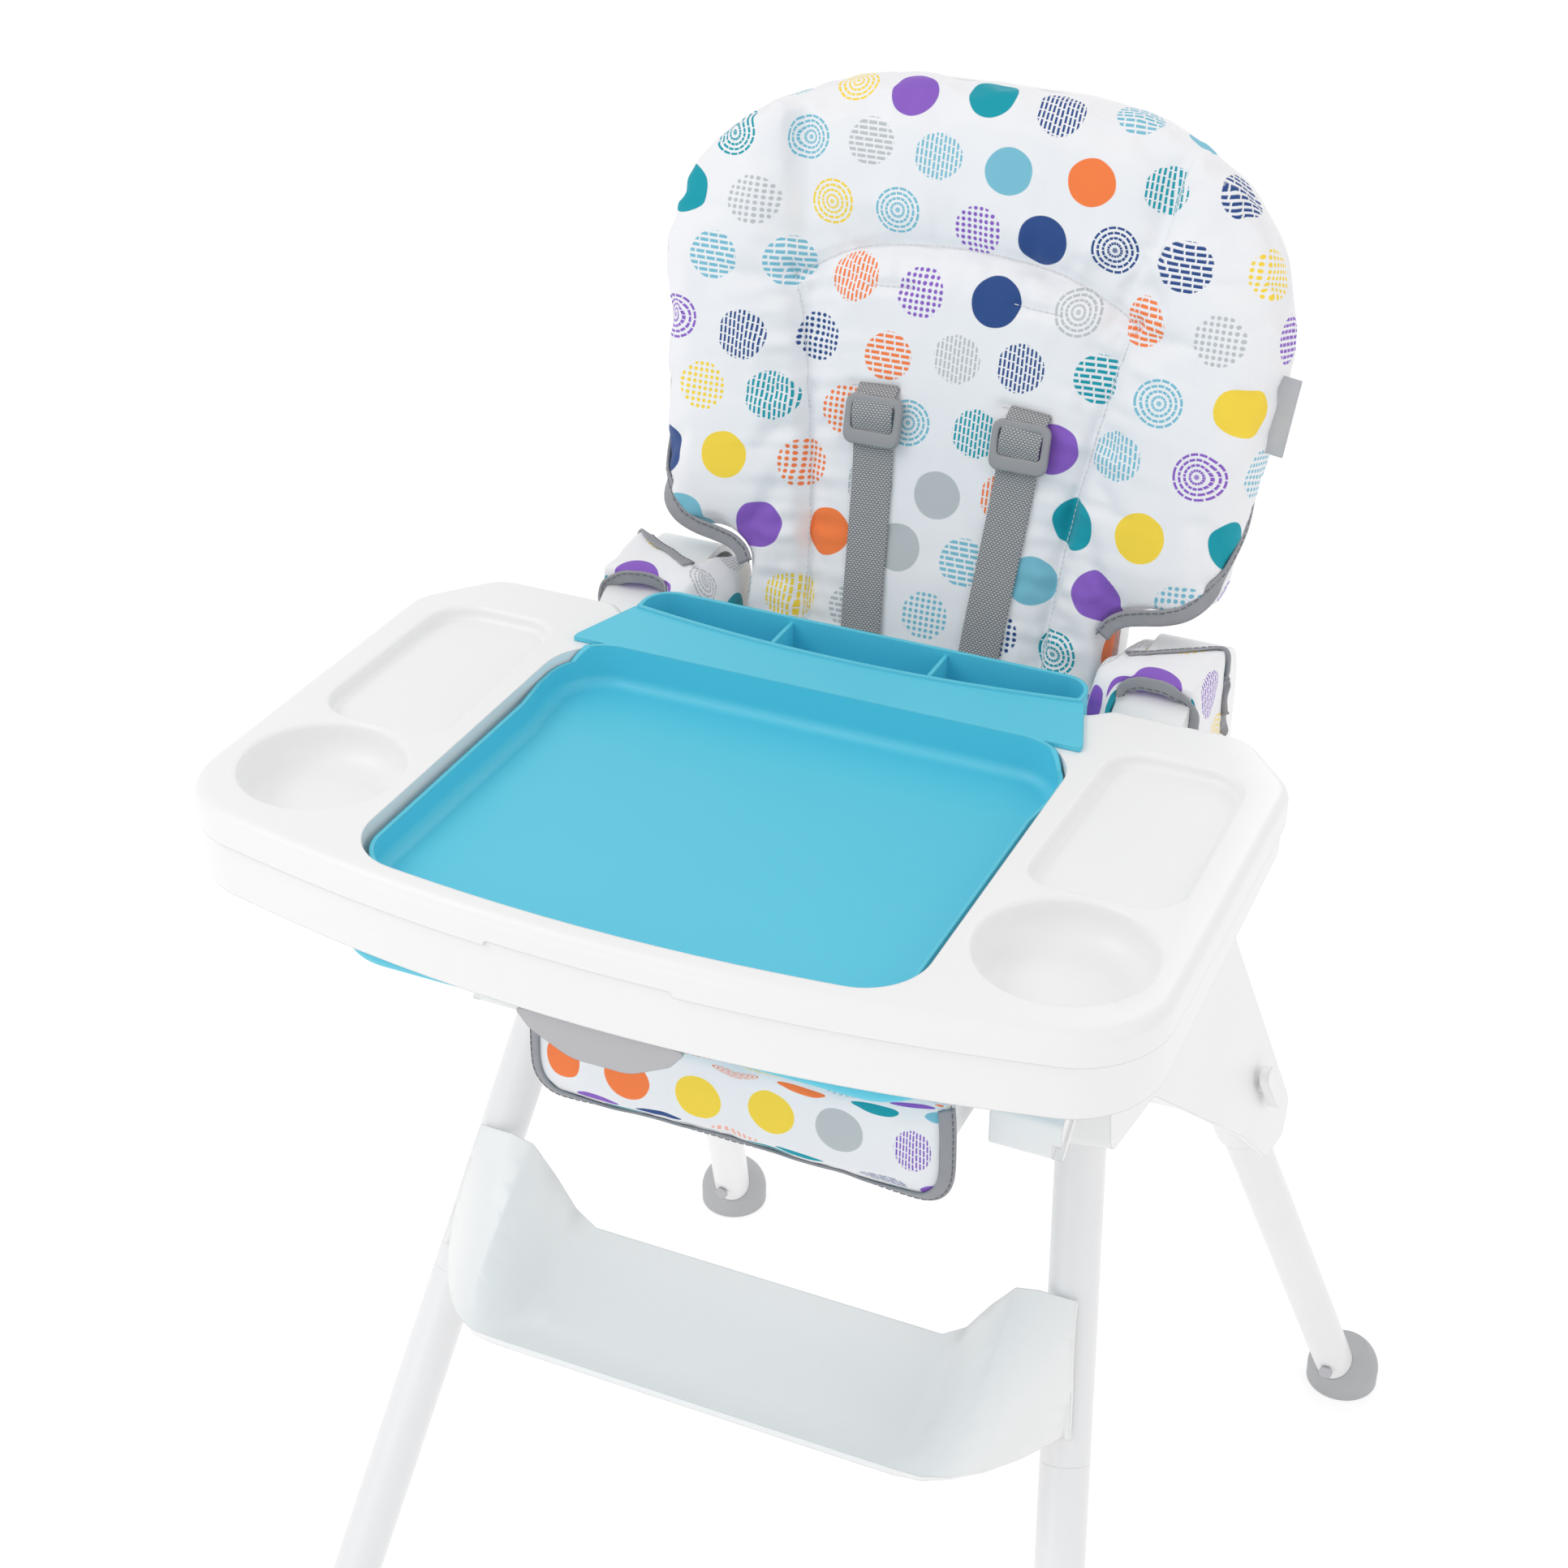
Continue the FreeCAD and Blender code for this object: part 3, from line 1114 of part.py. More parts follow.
def ladder_locks():
    """Two flat rounded frames that the shoulder webbing threads through."""
    plates = []
    n1 = PAD_FRONT_N - SOFT_GAP - STRAP_THICK - SLIP_CLEARANCE
    outer = rectangle(STRAP_TOP_X - LOCK_PLATE_HALF_W, STRAP_TOP_X + LOCK_PLATE_HALF_W,
                      LOCK_PLATE_T - LOCK_PLATE_HALF_H, LOCK_PLATE_T + LOCK_PLATE_HALF_H, 6.0)
    window = rectangle(STRAP_TOP_X - STRAP_WIDTH / 2 - 0.8, STRAP_TOP_X + STRAP_WIDTH / 2 + 0.8,
                       LOCK_BAR_T + LOCK_BAR_HALF, LOCK_PLATE_T + LOCK_PLATE_HALF_H - LOCK_TOP_RIM, 1.5)
    lower = rectangle(STRAP_TOP_X - STRAP_WIDTH / 2 - 0.8, STRAP_TOP_X + STRAP_WIDTH / 2 + 0.8,
                      LOCK_PLATE_T - LOCK_PLATE_HALF_H + LOCK_LOW_RIM, LOCK_BAR_T - LOCK_BAR_HALF, 1.5)
    for name, sign in SIDES:
        plate = back_slab(outer, n1 - LOCK_PLATE_THICK, n1)
        holes = [back_slab(window, n1 - LOCK_PLATE_THICK - 1, n1 + 1),
                 back_slab(lower, n1 - LOCK_PLATE_THICK - 1, n1 + 1)]
        plates.append(on_side(back_place(cut(plate, holes)), sign))
    return Part.Compound(plates)


def side_tag():
    """A folded fabric tab sewn into the right-hand edge of the cover."""
    middle = (PAD_FRONT_N + PAD_REAR_N) / 2
    start = max(x for x, t, r in WING_OUTLINE) - TAG_SEWN_IN
    corners = [(start, TAG_T, 1), (start + TAG_LENGTH, TAG_T, 1),
               (start + TAG_LENGTH, TAG_T + TAG_HEIGHT, 1), (start, TAG_T + TAG_HEIGHT, 1)]
    tab = back_place(back_slab(corners, middle - TAG_THICK / 2, middle + TAG_THICK / 2))
    return tab.cut(wing(1))


def recline_handle():
    """The grip behind the back, with two rods that run down to the cross bar in the notches."""
    n0 = LATCH_N - GRIP_THICK / 2
    outline = rectangle(-GRIP_HALF, GRIP_HALF, GRIP_T, GRIP_T + GRIP_HEIGHT, 8.0)
    window = rectangle(-GRIP_HALF + 8, GRIP_HALF - 8, GRIP_T + 9, GRIP_T + GRIP_HEIGHT - 7, 6.0)
    grip = back_slab(outline, n0, n0 + GRIP_THICK)
    grip = grip.cut(back_slab(window, n0 - 1, n0 + GRIP_THICK + 1))
    bar_half = PAN_HALF - PAN_WALL - LATCH_BAR_GAP
    parts = [grip, rod(Vector(-bar_half, LATCH_N, LATCH_BAR_T), Vector(bar_half, LATCH_N, LATCH_BAR_T),
                       LATCH_ROD_RADIUS)]
    for x in (LATCH_ROD_X, -LATCH_ROD_X):
        parts.append(rod(Vector(x, LATCH_N, LATCH_BAR_T), Vector(x, LATCH_N, GRIP_T + 2), LATCH_ROD_RADIUS))
    return back_place(fuse(parts))


# ---------------------------------------------------------------- seat padding and harness
def seat_pad():
    corners = rectangle(-SEAT_PAD_HALF, SEAT_PAD_HALF, SEAT_PAD_FRONT_Y + PAN_WALL, SEAT_PAD_REAR_Y, 14.0)
    low = PAN_FLOOR_Z + SOFT_GAP
    pad = slab_xy(corners, low, low + SEAT_PAD_THICK)
    return pad.cut(strap_slot())


def seat_flap():
    """The front flap of the seat cover, hanging over the pan's lip."""
    rear = PAN_FRONT_Y - SOFT_GAP
    corners = [(-FLAP_HALF, FLAP_LOW_Z, 16.0), (FLAP_HALF, FLAP_LOW_Z, 16.0),
               (FLAP_HALF, FLAP_TOP_Z, 10.0), (-FLAP_HALF, FLAP_TOP_Z, 10.0)]
    return slab(corners, lambda a, b: Vector(a, rear - FLAP_THICK, b), Vector(0, FLAP_THICK, 0))


def side_pad(sign):
    """The cover over an arm: a pad on its inner side and a cap over its flat top."""
    outer = ARM_INNER_X - SOFT_GAP
    inner = outer - SIDE_PAD_THICK
    cap_low = ARM_TOP_Z + SOFT_GAP
    cap_top = cap_low + SIDE_PAD_CAP
    rear = ARM_REAR_Y - SIDE_PAD_REAR_INSET
    front = ARM_BREAK_Y - SIDE_PAD_BEFORE_BREAK
    outline = [(front, SIDE_PAD_LOW_Z, 8.0), (rear, SIDE_PAD_LOW_Z + SIDE_PAD_REAR_LIFT, 10.0),
               (rear, cap_top - SIDE_PAD_REAR_DROP, 20.0), (CAP_REAR_Y, cap_top, 16.0),
               (ARM_BREAK_Y - 4.0, cap_top, 16.0)]
    pad = slab_yz(outline, inner, outer)
    cap = box(inner, ARM_OUTER_X - 3.0, ARM_BREAK_Y + 2.0, CAP_REAR_Y, cap_low, cap_top)
    return on_side(fuse([pad, cap]), sign)


def strap_span(start, end, width_way):
    """A flat length of webbing between two points, its width along width_way."""
    along = end.sub(start)
    wide = Vector(width_way).normalize().multiply(STRAP_WIDTH / 2)
    normal = along.cross(wide).normalize().multiply(STRAP_THICK)
    corners = [start.add(wide), end.add(wide), end.sub(wide), start.sub(wide)]
    face = Part.Face(Part.makePolygon(corners + [corners[0]]))
    return face.extrude(normal)


def crotch_strap():
    """Webbing from the slot in the pan, up through the pad, to the front of the buckle."""
    low = Vector(0, CROTCH_SLOT_Y, PAN_FLOOR_Z - PAN_WALL - 2)
    bend = Vector(0, CROTCH_SLOT_Y, PAN_FLOOR_Z + SEAT_PAD_THICK + 6)
    end = Vector(0, BUCKLE_Y - BUCKLE_HALF_L - SLIP_CLEARANCE, BUCKLE_Z)
    wide = Vector(1, 0, 0)
    half = STRAP_WIDTH / 2
    seat = box(-half, half, end.y - 1, end.y, end.z - STRAP_THICK, end.z + STRAP_THICK)
    beyond = box(-STRAP_WIDTH, STRAP_WIDTH, end.y, end.y + STRAP_WIDTH, end.z - half, end.z + half)
    return fuse([strap_span(low, bend, wide), strap_span(bend, end, wide), seat]).cut(beyond)


def waist_straps():
    """Webbing from the rear corners of the seat to the two tongues of the buckle."""
    straps = []
    for name, sign in SIDES:
        start = Vector(WAIST_SLOT_X, WAIST_SLOT_Y, PAN_FLOOR_Z + SEAT_PAD_THICK + 12)
        end = Vector(TONGUE_OUTER_X - 4, BUCKLE_Y + 12, BUCKLE_Z)
        strap = strap_span(start, end, Vector(0.25, 0.35, 1)).cut(tongue_head(SOFT_GAP))
        beyond = box(-TONGUE_OUTER_X, TONGUE_OUTER_X - 3, BUCKLE_Y - STRAP_WIDTH * 2, BUCKLE_Y + STRAP_WIDTH * 2,
                     BUCKLE_Z - STRAP_WIDTH, BUCKLE_Z + STRAP_WIDTH)
        straps.append(on_side(strap.cut(beyond), sign))
    return Part.Compound(straps)


def buckle_outline(inset):
    return rectangle(-BUCKLE_HALF_W + inset, BUCKLE_HALF_W - inset, BUCKLE_Y - BUCKLE_HALF_L + inset,
                     BUCKLE_Y + BUCKLE_HALF_L - inset, 10.0 - inset)


def buckle():
    """The hollow case of the harness buckle, open for its button and its tongues."""
    low = BUCKLE_Z - BUCKLE_THICK / 2
    high = BUCKLE_Z + BUCKLE_THICK / 2
    case = slab_xy(buckle_outline(0), low, high).cut(slab_xy(buckle_outline(BUCKLE_WALL), low + BUCKLE_WALL,
                                                             high - BUCKLE_WALL))
    hole = rod(Vector(0, BUCKLE_Y, BUCKLE_Z), Vector(0, BUCKLE_Y, high + 1), BUTTON_RADIUS + SLIP_CLEARANCE)
    mouths = [on_side(box(BUCKLE_HALF_W - BUCKLE_WALL - 1, BUCKLE_HALF_W + 1, BUCKLE_Y + 4, BUCKLE_Y + 20,
                          BUCKLE_Z - 2.2, BUCKLE_Z + 2.2), sign) for name, sign in SIDES]
    return cut(case, [hole] + mouths)


def buckle_button():
    """The round release button, kept in by a flange under the case's top."""
    high = BUCKLE_Z + BUCKLE_THICK / 2
    flange_top = high - BUCKLE_WALL - SLIP_CLEARANCE
    stem = rod(Vector(0, BUCKLE_Y, flange_top - 1.6), Vector(0, BUCKLE_Y, high + BUTTON_STAND), BUTTON_RADIUS)
    flange = rod(Vector(0, BUCKLE_Y, flange_top - 1.6), Vector(0, BUCKLE_Y, flange_top), BUTTON_RADIUS + 3)
    return fuse([stem, flange])


def tongue_head(margin):
    return box(BUCKLE_HALF_W + 3 - margin, TONGUE_OUTER_X + margin, BUCKLE_Y - 2 - margin,
               BUCKLE_Y + 26 + margin, BUCKLE_Z - 2.6 - margin, BUCKLE_Z + 2.6 + margin)


def buckle_tongues():
    """The flat tongues on the waist straps, pushed into the sides of the buckle."""
    tongues = []
    for name, sign in SIDES:
        blade = box(BUCKLE_HALF_W - 8, BUCKLE_HALF_W + 10, BUCKLE_Y + 5, BUCKLE_Y + 19,
                    BUCKLE_Z - 1.6, BUCKLE_Z + 1.6)
        tongues.append(on_side(fuse([blade, tongue_head(0.0)]), sign))
    return Part.Compound(tongues)


# ---------------------------------------------------------------- tray
def tray_outline():
    """The tray seen from above: a bowed front, rounded corners and two ears at the rear."""
    front, slope = bow_vertex(TRAY_FRONT_Y, TRAY_BOW_RADIUS, TRAY_BOW_HALF / TRAY_BOW_RADIUS)
    half = [(TRAY_HALF, front[1] + TRAY_HALF * slope, TRAY_CORNER),
            (TRAY_HALF - TRAY_SIDE_TAPER, TRAY_SIDE_REAR_Y, 30.0), (TRAY_EAR_OUTER_X, TRAY_EAR_Y, 26.0),
            (TRAY_EAR_INNER_X, TRAY_EAR_Y, 8.0), (TRAY_REAR_HALF, TRAY_REAR_Y, 8.0)]
    rear = (0.0, TRAY_REAR_BOW_Y, REAR_BOW_RADIUS)
    left = [(-x, y, r) for x, y, r in reversed(half)]
    return [front] + half + [rear] + left


def bow_vertex(middle_y, radius, share):
    """The middle corner whose rounding bows a front edge out to middle_y, and the slope beside it.

    share is the bowed half-width over the radius.
    """
    turn = math.asin(share)
    vertex_y = middle_y - radius * (1 / math.cos(turn) - 1)
    return (0.0, vertex_y, radius), math.tan(turn)


def tray_face(inset):
    face = Part.Face(outline_wire(tray_outline(), lambda a, b: Vector(a, b, 0)))
    return face.makeOffset2D(-inset) if inset > 0 else face


def tray_block(inset, z0, z1):
    block = tray_face(inset).extrude(Vector(0, 0, z1 - z0))
    block.translate(Vector(0, 0, z0))
    return block


def round_edges(shape, radius, z):
    """Round every edge of a block that lies flat at the height z."""
    edges = [e for e in shape.Edges if abs(e.BoundBox.ZMin - z) < 0.01 and abs(e.BoundBox.ZMax - z) < 0.01]
    return shape.makeFillet(radius, edges)


def well_outline(inset):
    """The well from above, with the same centre for its bowed front as the tray's front edge."""
    half = WELL_HALF - inset
    radius = TRAY_BOW_RADIUS - (WELL_FRONT_Y - TRAY_FRONT_Y)
    front, slope = bow_vertex(WELL_FRONT_Y + inset, radius - inset, WELL_BOW_HALF / radius)
    corner_y = front[1] + half * slope
    rear = WELL_REAR_Y - inset
    round_off = WELL_CORNER - inset
    return [front, (half, corner_y, round_off), (half, rear, round_off), (-half, rear, round_off),
            (-half, corner_y, round_off)]


def cover_outline(inset):
    half = COVER_HALF - inset
    return rectangle(-half, half, COVER_FRONT_Y + inset, COVER_REAR_Y - inset, COVER_CORNER - inset)


def recess_outline(inset):
    shrunk = []
    middle_x = (RECESS_OUTLINE[0][0] + RECESS_OUTLINE[1][0]) / 2
    middle_y = (RECESS_OUTLINE[0][1] + RECESS_OUTLINE[2][1]) / 2
    for x, y, r in RECESS_OUTLINE:
        dx = -inset if x > middle_x else inset
        dy = -inset if y > middle_y else inset
        shrunk.append((x + dx, y + dy, r - inset))
    return shrunk


def cup(radius, z0, z1, floor_round):
    return round_edges(rod(Vector(CUP_X, CUP_Y, z0), Vector(CUP_X, CUP_Y, z1), radius), floor_round, z0)


def round_lips(tray):
    """Soften the edges where the cup rounds and the recesses meet the tray's top."""
    lips = []
    for edge in tray.Edges:
        low, high = edge.BoundBox.ZMin, edge.BoundBox.ZMax
        x, y = abs(edge.BoundBox.Center.x), edge.BoundBox.Center.y
        in_recess = x > RECESS_OUTLINE[0][0] - 1 and x < RECESS_OUTLINE[1][0] + 1
        beside_well = RECESS_OUTLINE[0][1] - 1 < y < RECESS_OUTLINE[2][1] + 1
        in_cup = math.hypot(x - CUP_X, y - CUP_Y) < CUP_RADIUS
        flat = abs(low - TRAY_TOP_Z) < 0.01 and abs(high - TRAY_TOP_Z) < 0.01
        if flat and (in_cup or (in_recess and beside_well)):
            lips.append(edge)
    return tray.makeFillet(TRAY_LIP_ROUND, lips)


def tray_top():
    """The upper moulding: a rounded skin with a sunk well, two cup rounds and two recesses."""
    outer = round_edges(tray_block(0.0, TRAY_PARTING_Z, TRAY_TOP_Z), TRAY_EDGE_ROUND, TRAY_TOP_Z)
    inner = tray_block(TRAY_WALL, TRAY_PARTING_Z - 1, TRAY_TOP_Z - TRAY_WALL)
    under_recess = TRAY_TOP_Z - RECESS_DEPTH - RECESS_WALL
    under_cup = TRAY_TOP_Z - CUP_DEPTH - TRAY_WALL
    tub_low = WELL_FLOOR_Z - TRAY_WALL
    parts = [outer.cut(inner), slab_xy(well_outline(-TRAY_WALL), tub_low, TRAY_TOP_Z - 1),
             slab_xy(cover_outline(0.0), tub_low, WELL_FLOOR_Z)]
    hollows = [slab_xy(well_outline(0.0), WELL_FLOOR_Z, TRAY_TOP_Z + 1)]
    for name, sign in SIDES:
        parts.append(on_side(slab_xy(recess_outline(-RECESS_WALL), under_recess, TRAY_TOP_Z - 1), sign))
        parts.append(on_side(cup(CUP_RADIUS + TRAY_WALL, under_cup, TRAY_TOP_Z - 1,
                                 CUP_FLOOR_ROUND + TRAY_WALL), sign))
        recess = slab_xy(recess_outline(0.0), TRAY_TOP_Z - RECESS_DEPTH, TRAY_TOP_Z + 1)
        recess = round_edges(recess, RECESS_FLOOR_ROUND, TRAY_TOP_Z - RECESS_DEPTH)
        hollows.append(on_side(recess, sign))
        hollows.append(on_side(cup(CUP_RADIUS, TRAY_TOP_Z - CUP_DEPTH, TRAY_TOP_Z + 1, CUP_FLOOR_ROUND), sign))
    return round_lips(cut(fuse(parts), hollows)).cut(parting_step())


def parting_step():
    """The block at the middle of the front where the parting line runs higher."""
    left, right = PARTING_STEP_X
    top = TRAY_PARTING_Z + PARTING_STEP_HEIGHT
    corners = [(left, SKIRT_FRONT_Z, 0), (right, SKIRT_FRONT_Z, 0), (right, top, PARTING_STEP_CORNER),
               (left, top, PARTING_STEP_CORNER)]
    return slab(corners, lambda x, z: Vector(x, TRAY_FRONT_Y - 1, z), Vector(0, WELL_FRONT_Y - TRAY_FRONT_Y, 0))


def tray_skirt():
    """The lower moulding: an upright wall all round whose bottom edge rises to the rear."""
    top = TRAY_PARTING_Z + PARTING_STEP_HEIGHT
    ring = tray_block(SKIRT_INSET, SKIRT_FRONT_Z, top)
    ring = ring.cut(tray_block(SKIRT_INSET + SKIRT_WALL, SKIRT_FRONT_Z - 1, top + 1))
    above = tray_block(-1.0, TRAY_PARTING_Z, top + 1).cut(parting_step())
    ring = ring.cut(above)
    below = SKIRT_FRONT_Z - 5
    slant = [(TRAY_FRONT_Y - 1, SKIRT_FRONT_Z), (0.0, SKIRT_REAR_Z), (0.0, below), (TRAY_FRONT_Y - 1, below)]
    points = [Vector(-TRAY_HALF * 2, y, z) for y, z in slant]
    wedge = Part.Face(Part.makePolygon(points + [points[0]])).extrude(Vector(TRAY_HALF * 4, 0, 0))
    return ring.cut(wedge)


def tray_bottom_cover():
    """The shallow coloured pan under the tray that closes in the latch."""
    top = WELL_FLOOR_Z - TRAY_WALL
    solid = round_edges(slab_xy(cover_outline(0.0), COVER_LOW_Z, top), COVER_EDGE_ROUND, COVER_LOW_Z)
    hollow = slab_xy(cover_outline(COVER_WALL), COVER_LOW_Z + COVER_WALL, top + 1)
    z0 = LATCH_BAR_LOW_Z - LATCH_GAP
    z1 = LATCH_BAR_LOW_Z + LATCH_BAR_HEIGHT + LATCH_GAP
    rod_slot = box(-ROD_HALF - LATCH_GAP, ROD_HALF + LATCH_GAP, COVER_FRONT_Y - 1,
                   COVER_FRONT_Y + COVER_WALL * 4, z0, z1)
    bar_slot = box(-COVER_HALF - 1, COVER_HALF + 1, PIN_Y - LATCH_BAR_HALF - LATCH_GAP,
                   PIN_Y + LATCH_BAR_HALF + LATCH_GAP, z0, z1)
    return cut(solid, [hollow, rod_slot, bar_slot])


def tray_runner(sign):
    """The plate under one side of the tray, with ribs that run in the arm's groove."""
    x0 = ARM_OUTER_X + LATCH_GAP
    x1 = x0 + RUNNER_THICK
    below = RUNNER_BELOW_GROOVE / SLIDE_COS
    outline = [(RUNNER_REAR_Y, RUNNER_TOP_Z, 0), (RUNNER_REAR_Y, groove_z(RUNNER_REAR_Y) - below, 6.0),
               (RUNNER_LOW_Y, groove_z(RUNNER_LOW_Y) - below, 10.0),
               (RUNNER_FRONT_Y, RUNNER_TOP_Z - RUNNER_FRONT_HEIGHT, 20.0), (RUNNER_FRONT_Y, RUNNER_TOP_Z, 0)]
    plate = slab_yz(outline, x0, x1)
    flange = box(x0, RUNNER_FLANGE_OUTER_X, RUNNER_FRONT_Y + 4, RECESS_OUTLINE[2][1] - 4,
                 RUNNER_TOP_Z - RUNNER_FLANGE_THICK, RUNNER_TOP_Z)
    rib_x = ARM_OUTER_X - GROOVE_DEPTH + RUNNER_CLEARANCE * 2
    rib_width = GROOVE_WIDTH - RUNNER_CLEARANCE * 2
    front_rib = groove_bar(rib_x, x1, RUNNER_LOW_Y + 2, PIN_Y - RIB_MARGIN, rib_width)
    rear_rib = groove_bar(rib_x, x1, PIN_Y + RIB_MARGIN, RUNNER_REAR_Y - 2, rib_width)
    body = fuse([plate, flange, front_rib, rear_rib])
    pin_hole = rod(Vector(x0 - 1, PIN_Y, groove_z(PIN_Y)), Vector(x1 + 1, PIN_Y, groove_z(PIN_Y)),
                   LATCH_PIN_RADIUS + LATCH_GAP)
    bar_slot = box(x0 - 1, x1 + 1, PIN_Y - LATCH_BAR_HALF - LATCH_GAP, PIN_Y + LATCH_BAR_HALF + LATCH_GAP,
                   LATCH_BAR_LOW_Z - LATCH_GAP, LATCH_BAR_LOW_Z + LATCH_BAR_HEIGHT + LATCH_GAP)
    screws = [tray_screw_rod(y, TRAY_SCREW_RADIUS + SLIP_CLEARANCE) for y in TRAY_SCREW_Y]
    return on_side(cut(body, [pin_hole, bar_slot] + screws), sign)


def tray_screw_rod(y, radius):
    return rod(Vector(TRAY_SCREW_X, y, RUNNER_TOP_Z - RUNNER_FLANGE_THICK),
               Vector(TRAY_SCREW_X, y, RUNNER_TOP_Z), radius)


def tray_screws():
    """Screws up through the runners' flanges, against the underside of the recesses."""
    screws = []
    low = RUNNER_TOP_Z - RUNNER_FLANGE_THICK
    for name, sign in SIDES:
        for y in TRAY_SCREW_Y:
            head = rod(Vector(TRAY_SCREW_X, y, low - SCREW_HEAD_HEIGHT), Vector(TRAY_SCREW_X, y, low),
                       SCREW_HEAD_RADIUS - 1)
            screws.append(on_side(fuse([tray_screw_rod(y, TRAY_SCREW_RADIUS), head]), sign))
    return Part.Compound(screws)


def wedge_x(y):
    """Half width of the latch wedge, which widens towards the rear."""
    return (y - WEDGE_TIP_Y) * LATCH_TRAVEL / HANDLE_TRAVEL


def latch_plate(corners):
    points = [Vector(x, y, LATCH_BAR_LOW_Z) for x, y in corners]
    return Part.Face(Part.makePolygon(points + [points[0]])).extrude(Vector(0, 0, LATCH_BAR_HEIGHT))


def tray_handle():
    """The release under the tray's front edge: grip, long rod, and the wedge that spreads the bars."""
    top = LATCH_BAR_LOW_Z + LATCH_BAR_HEIGHT
    grip_top = top + HANDLE_ABOVE_ROD
    grip_outline = [(-HANDLE_HALF, grip_top, 2.0), (HANDLE_HALF, grip_top, 2.0), (HANDLE_HALF - 9, top - 9, 8.0),
                    (16.0, top - HANDLE_DEPTH, 24.0), (-16.0, top - HANDLE_DEPTH, 24.0),
                    (-HANDLE_HALF + 9, top - 9, 8.0)]
    grip = slab(grip_outline, lambda a, b: Vector(a, HANDLE_FRONT_Y, b), Vector(0, HANDLE_THICK, 0))
    rear_y = WEDGE_TIP_Y + ROD_HALF * HANDLE_TRAVEL / LATCH_TRAVEL
    half = wedge_x(WEDGE_REAR_Y)
    wedge = latch_plate([(-ROD_HALF, rear_y), (ROD_HALF, rear_y), (half, WEDGE_REAR_Y),
                         (-half, WEDGE_REAR_Y)])
    pull = box(-ROD_HALF, ROD_HALF, HANDLE_FRONT_Y + HANDLE_THICK / 2, rear_y, LATCH_BAR_LOW_Z, top)
    return fuse([grip, pull, wedge])


def tray_latch(sign):
    """A bar that the wedge pushes outward, with an arm down to the pin in the groove."""
    x0 = ARM_OUTER_X + LATCH_GAP * 2 + RUNNER_THICK
    x1 = x0 + LATCH_ARM_THICK
    y0 = PIN_Y - LATCH_BAR_HALF
    y1 = PIN_Y + LATCH_BAR_HALF
    slack = LATCH_GAP * 1.25
    bar = latch_plate([(wedge_x(y0) + slack, y0), (x1, y0), (x1, y1), (wedge_x(y1) + slack, y1)])
    z = groove_z(PIN_Y)
    arm_outline_yz = [(y0, LATCH_BAR_LOW_Z + LATCH_BAR_HEIGHT, 0), (y0, z - LATCH_BAR_HALF, 5.9),
                      (y1, z - LATCH_BAR_HALF, 5.9), (y1, LATCH_BAR_LOW_Z + LATCH_BAR_HEIGHT, 0)]
    drop = slab_yz(arm_outline_yz, x0, x1)
    tip = ARM_OUTER_X - GROOVE_DEPTH + RUNNER_CLEARANCE * 2
    pin = rod(Vector(tip, PIN_Y, z), Vector(x0 + 1, PIN_Y, z), LATCH_PIN_RADIUS)
    return on_side(fuse([bar, drop, pin]), sign)


def insert_outline(wall):
    """The insert's pan from above: clear of the well's sides, and wider again at the rear."""
    wide = WELL_HALF - INSERT_GAP - wall
    half = WELL_HALF - INSERT_SIDE_GAP - wall
    inset = INSERT_GAP + wall
    share = INSERT_BOW_HALF / INSERT_BOW_RADIUS
    front, slope = bow_vertex(WELL_FRONT_Y + inset, INSERT_BOW_RADIUS - wall, share)
    corner_y = front[1] + half * slope
    side = [(half, corner_y, WELL_CORNER - INSERT_SIDE_GAP - wall), (half, INSERT_FLARE_Y[0], 30.0),
            (wide, INSERT_FLARE_Y[1], 12.0), (wide, WELL_REAR_Y - inset, WELL_CORNER - inset)]
    return [front] + both_sides(side)


def insert_tub():
    """The insert's main pan, its rim a little lower than the ledge behind it."""
    outer = slab_xy(insert_outline(0.0), INSERT_FLOOR_Z - INSERT_WALL, LEDGE_Z)
    outer = round_edges(outer, INSERT_FLOOR_ROUND + INSERT_WALL, INSERT_FLOOR_Z - INSERT_WALL)
    hollow = slab_xy(insert_outline(INSERT_WALL), INSERT_FLOOR_Z, LEDGE_Z + 1)
    hollow = round_edges(hollow, INSERT_FLOOR_ROUND, INSERT_FLOOR_Z)
    rear = WELL_REAR_Y - WELL_CORNER / 2
    spare = [(WELL_FRONT_Y - 1, INSERT_RIM_Z), (rear, INSERT_RIM_Z), (rear + 8.0, LEDGE_Z + 1),
             (WELL_FRONT_Y - 1, LEDGE_Z + 1)]
    points = [Vector(-WELL_HALF, y, z) for y, z in spare]
    above = Part.Face(Part.makePolygon(points + [points[0]])).extrude(Vector(WELL_HALF * 2, 0, 0))
    return cut(outer, [hollow, above])


def box_outline(wall):
    """The pocket box from above, its front bowed to follow the tray's rear edge."""
    front_y = BOX_FRONT_Y + wall
    rear_y = BOX_REAR_Y - wall
    half = BOX_HALF - wall
    bow = (0.0, TRAY_REAR_BOW_Y + BOX_BEHIND_TRAY + wall, REAR_BOW_RADIUS)
    right = [(half, front_y, 2.0), (half, rear_y, BOX_REAR_CORNER - wall)]
    left = [(-x, y, r) for x, y, r in reversed(right)]
    return [bow] + right + left


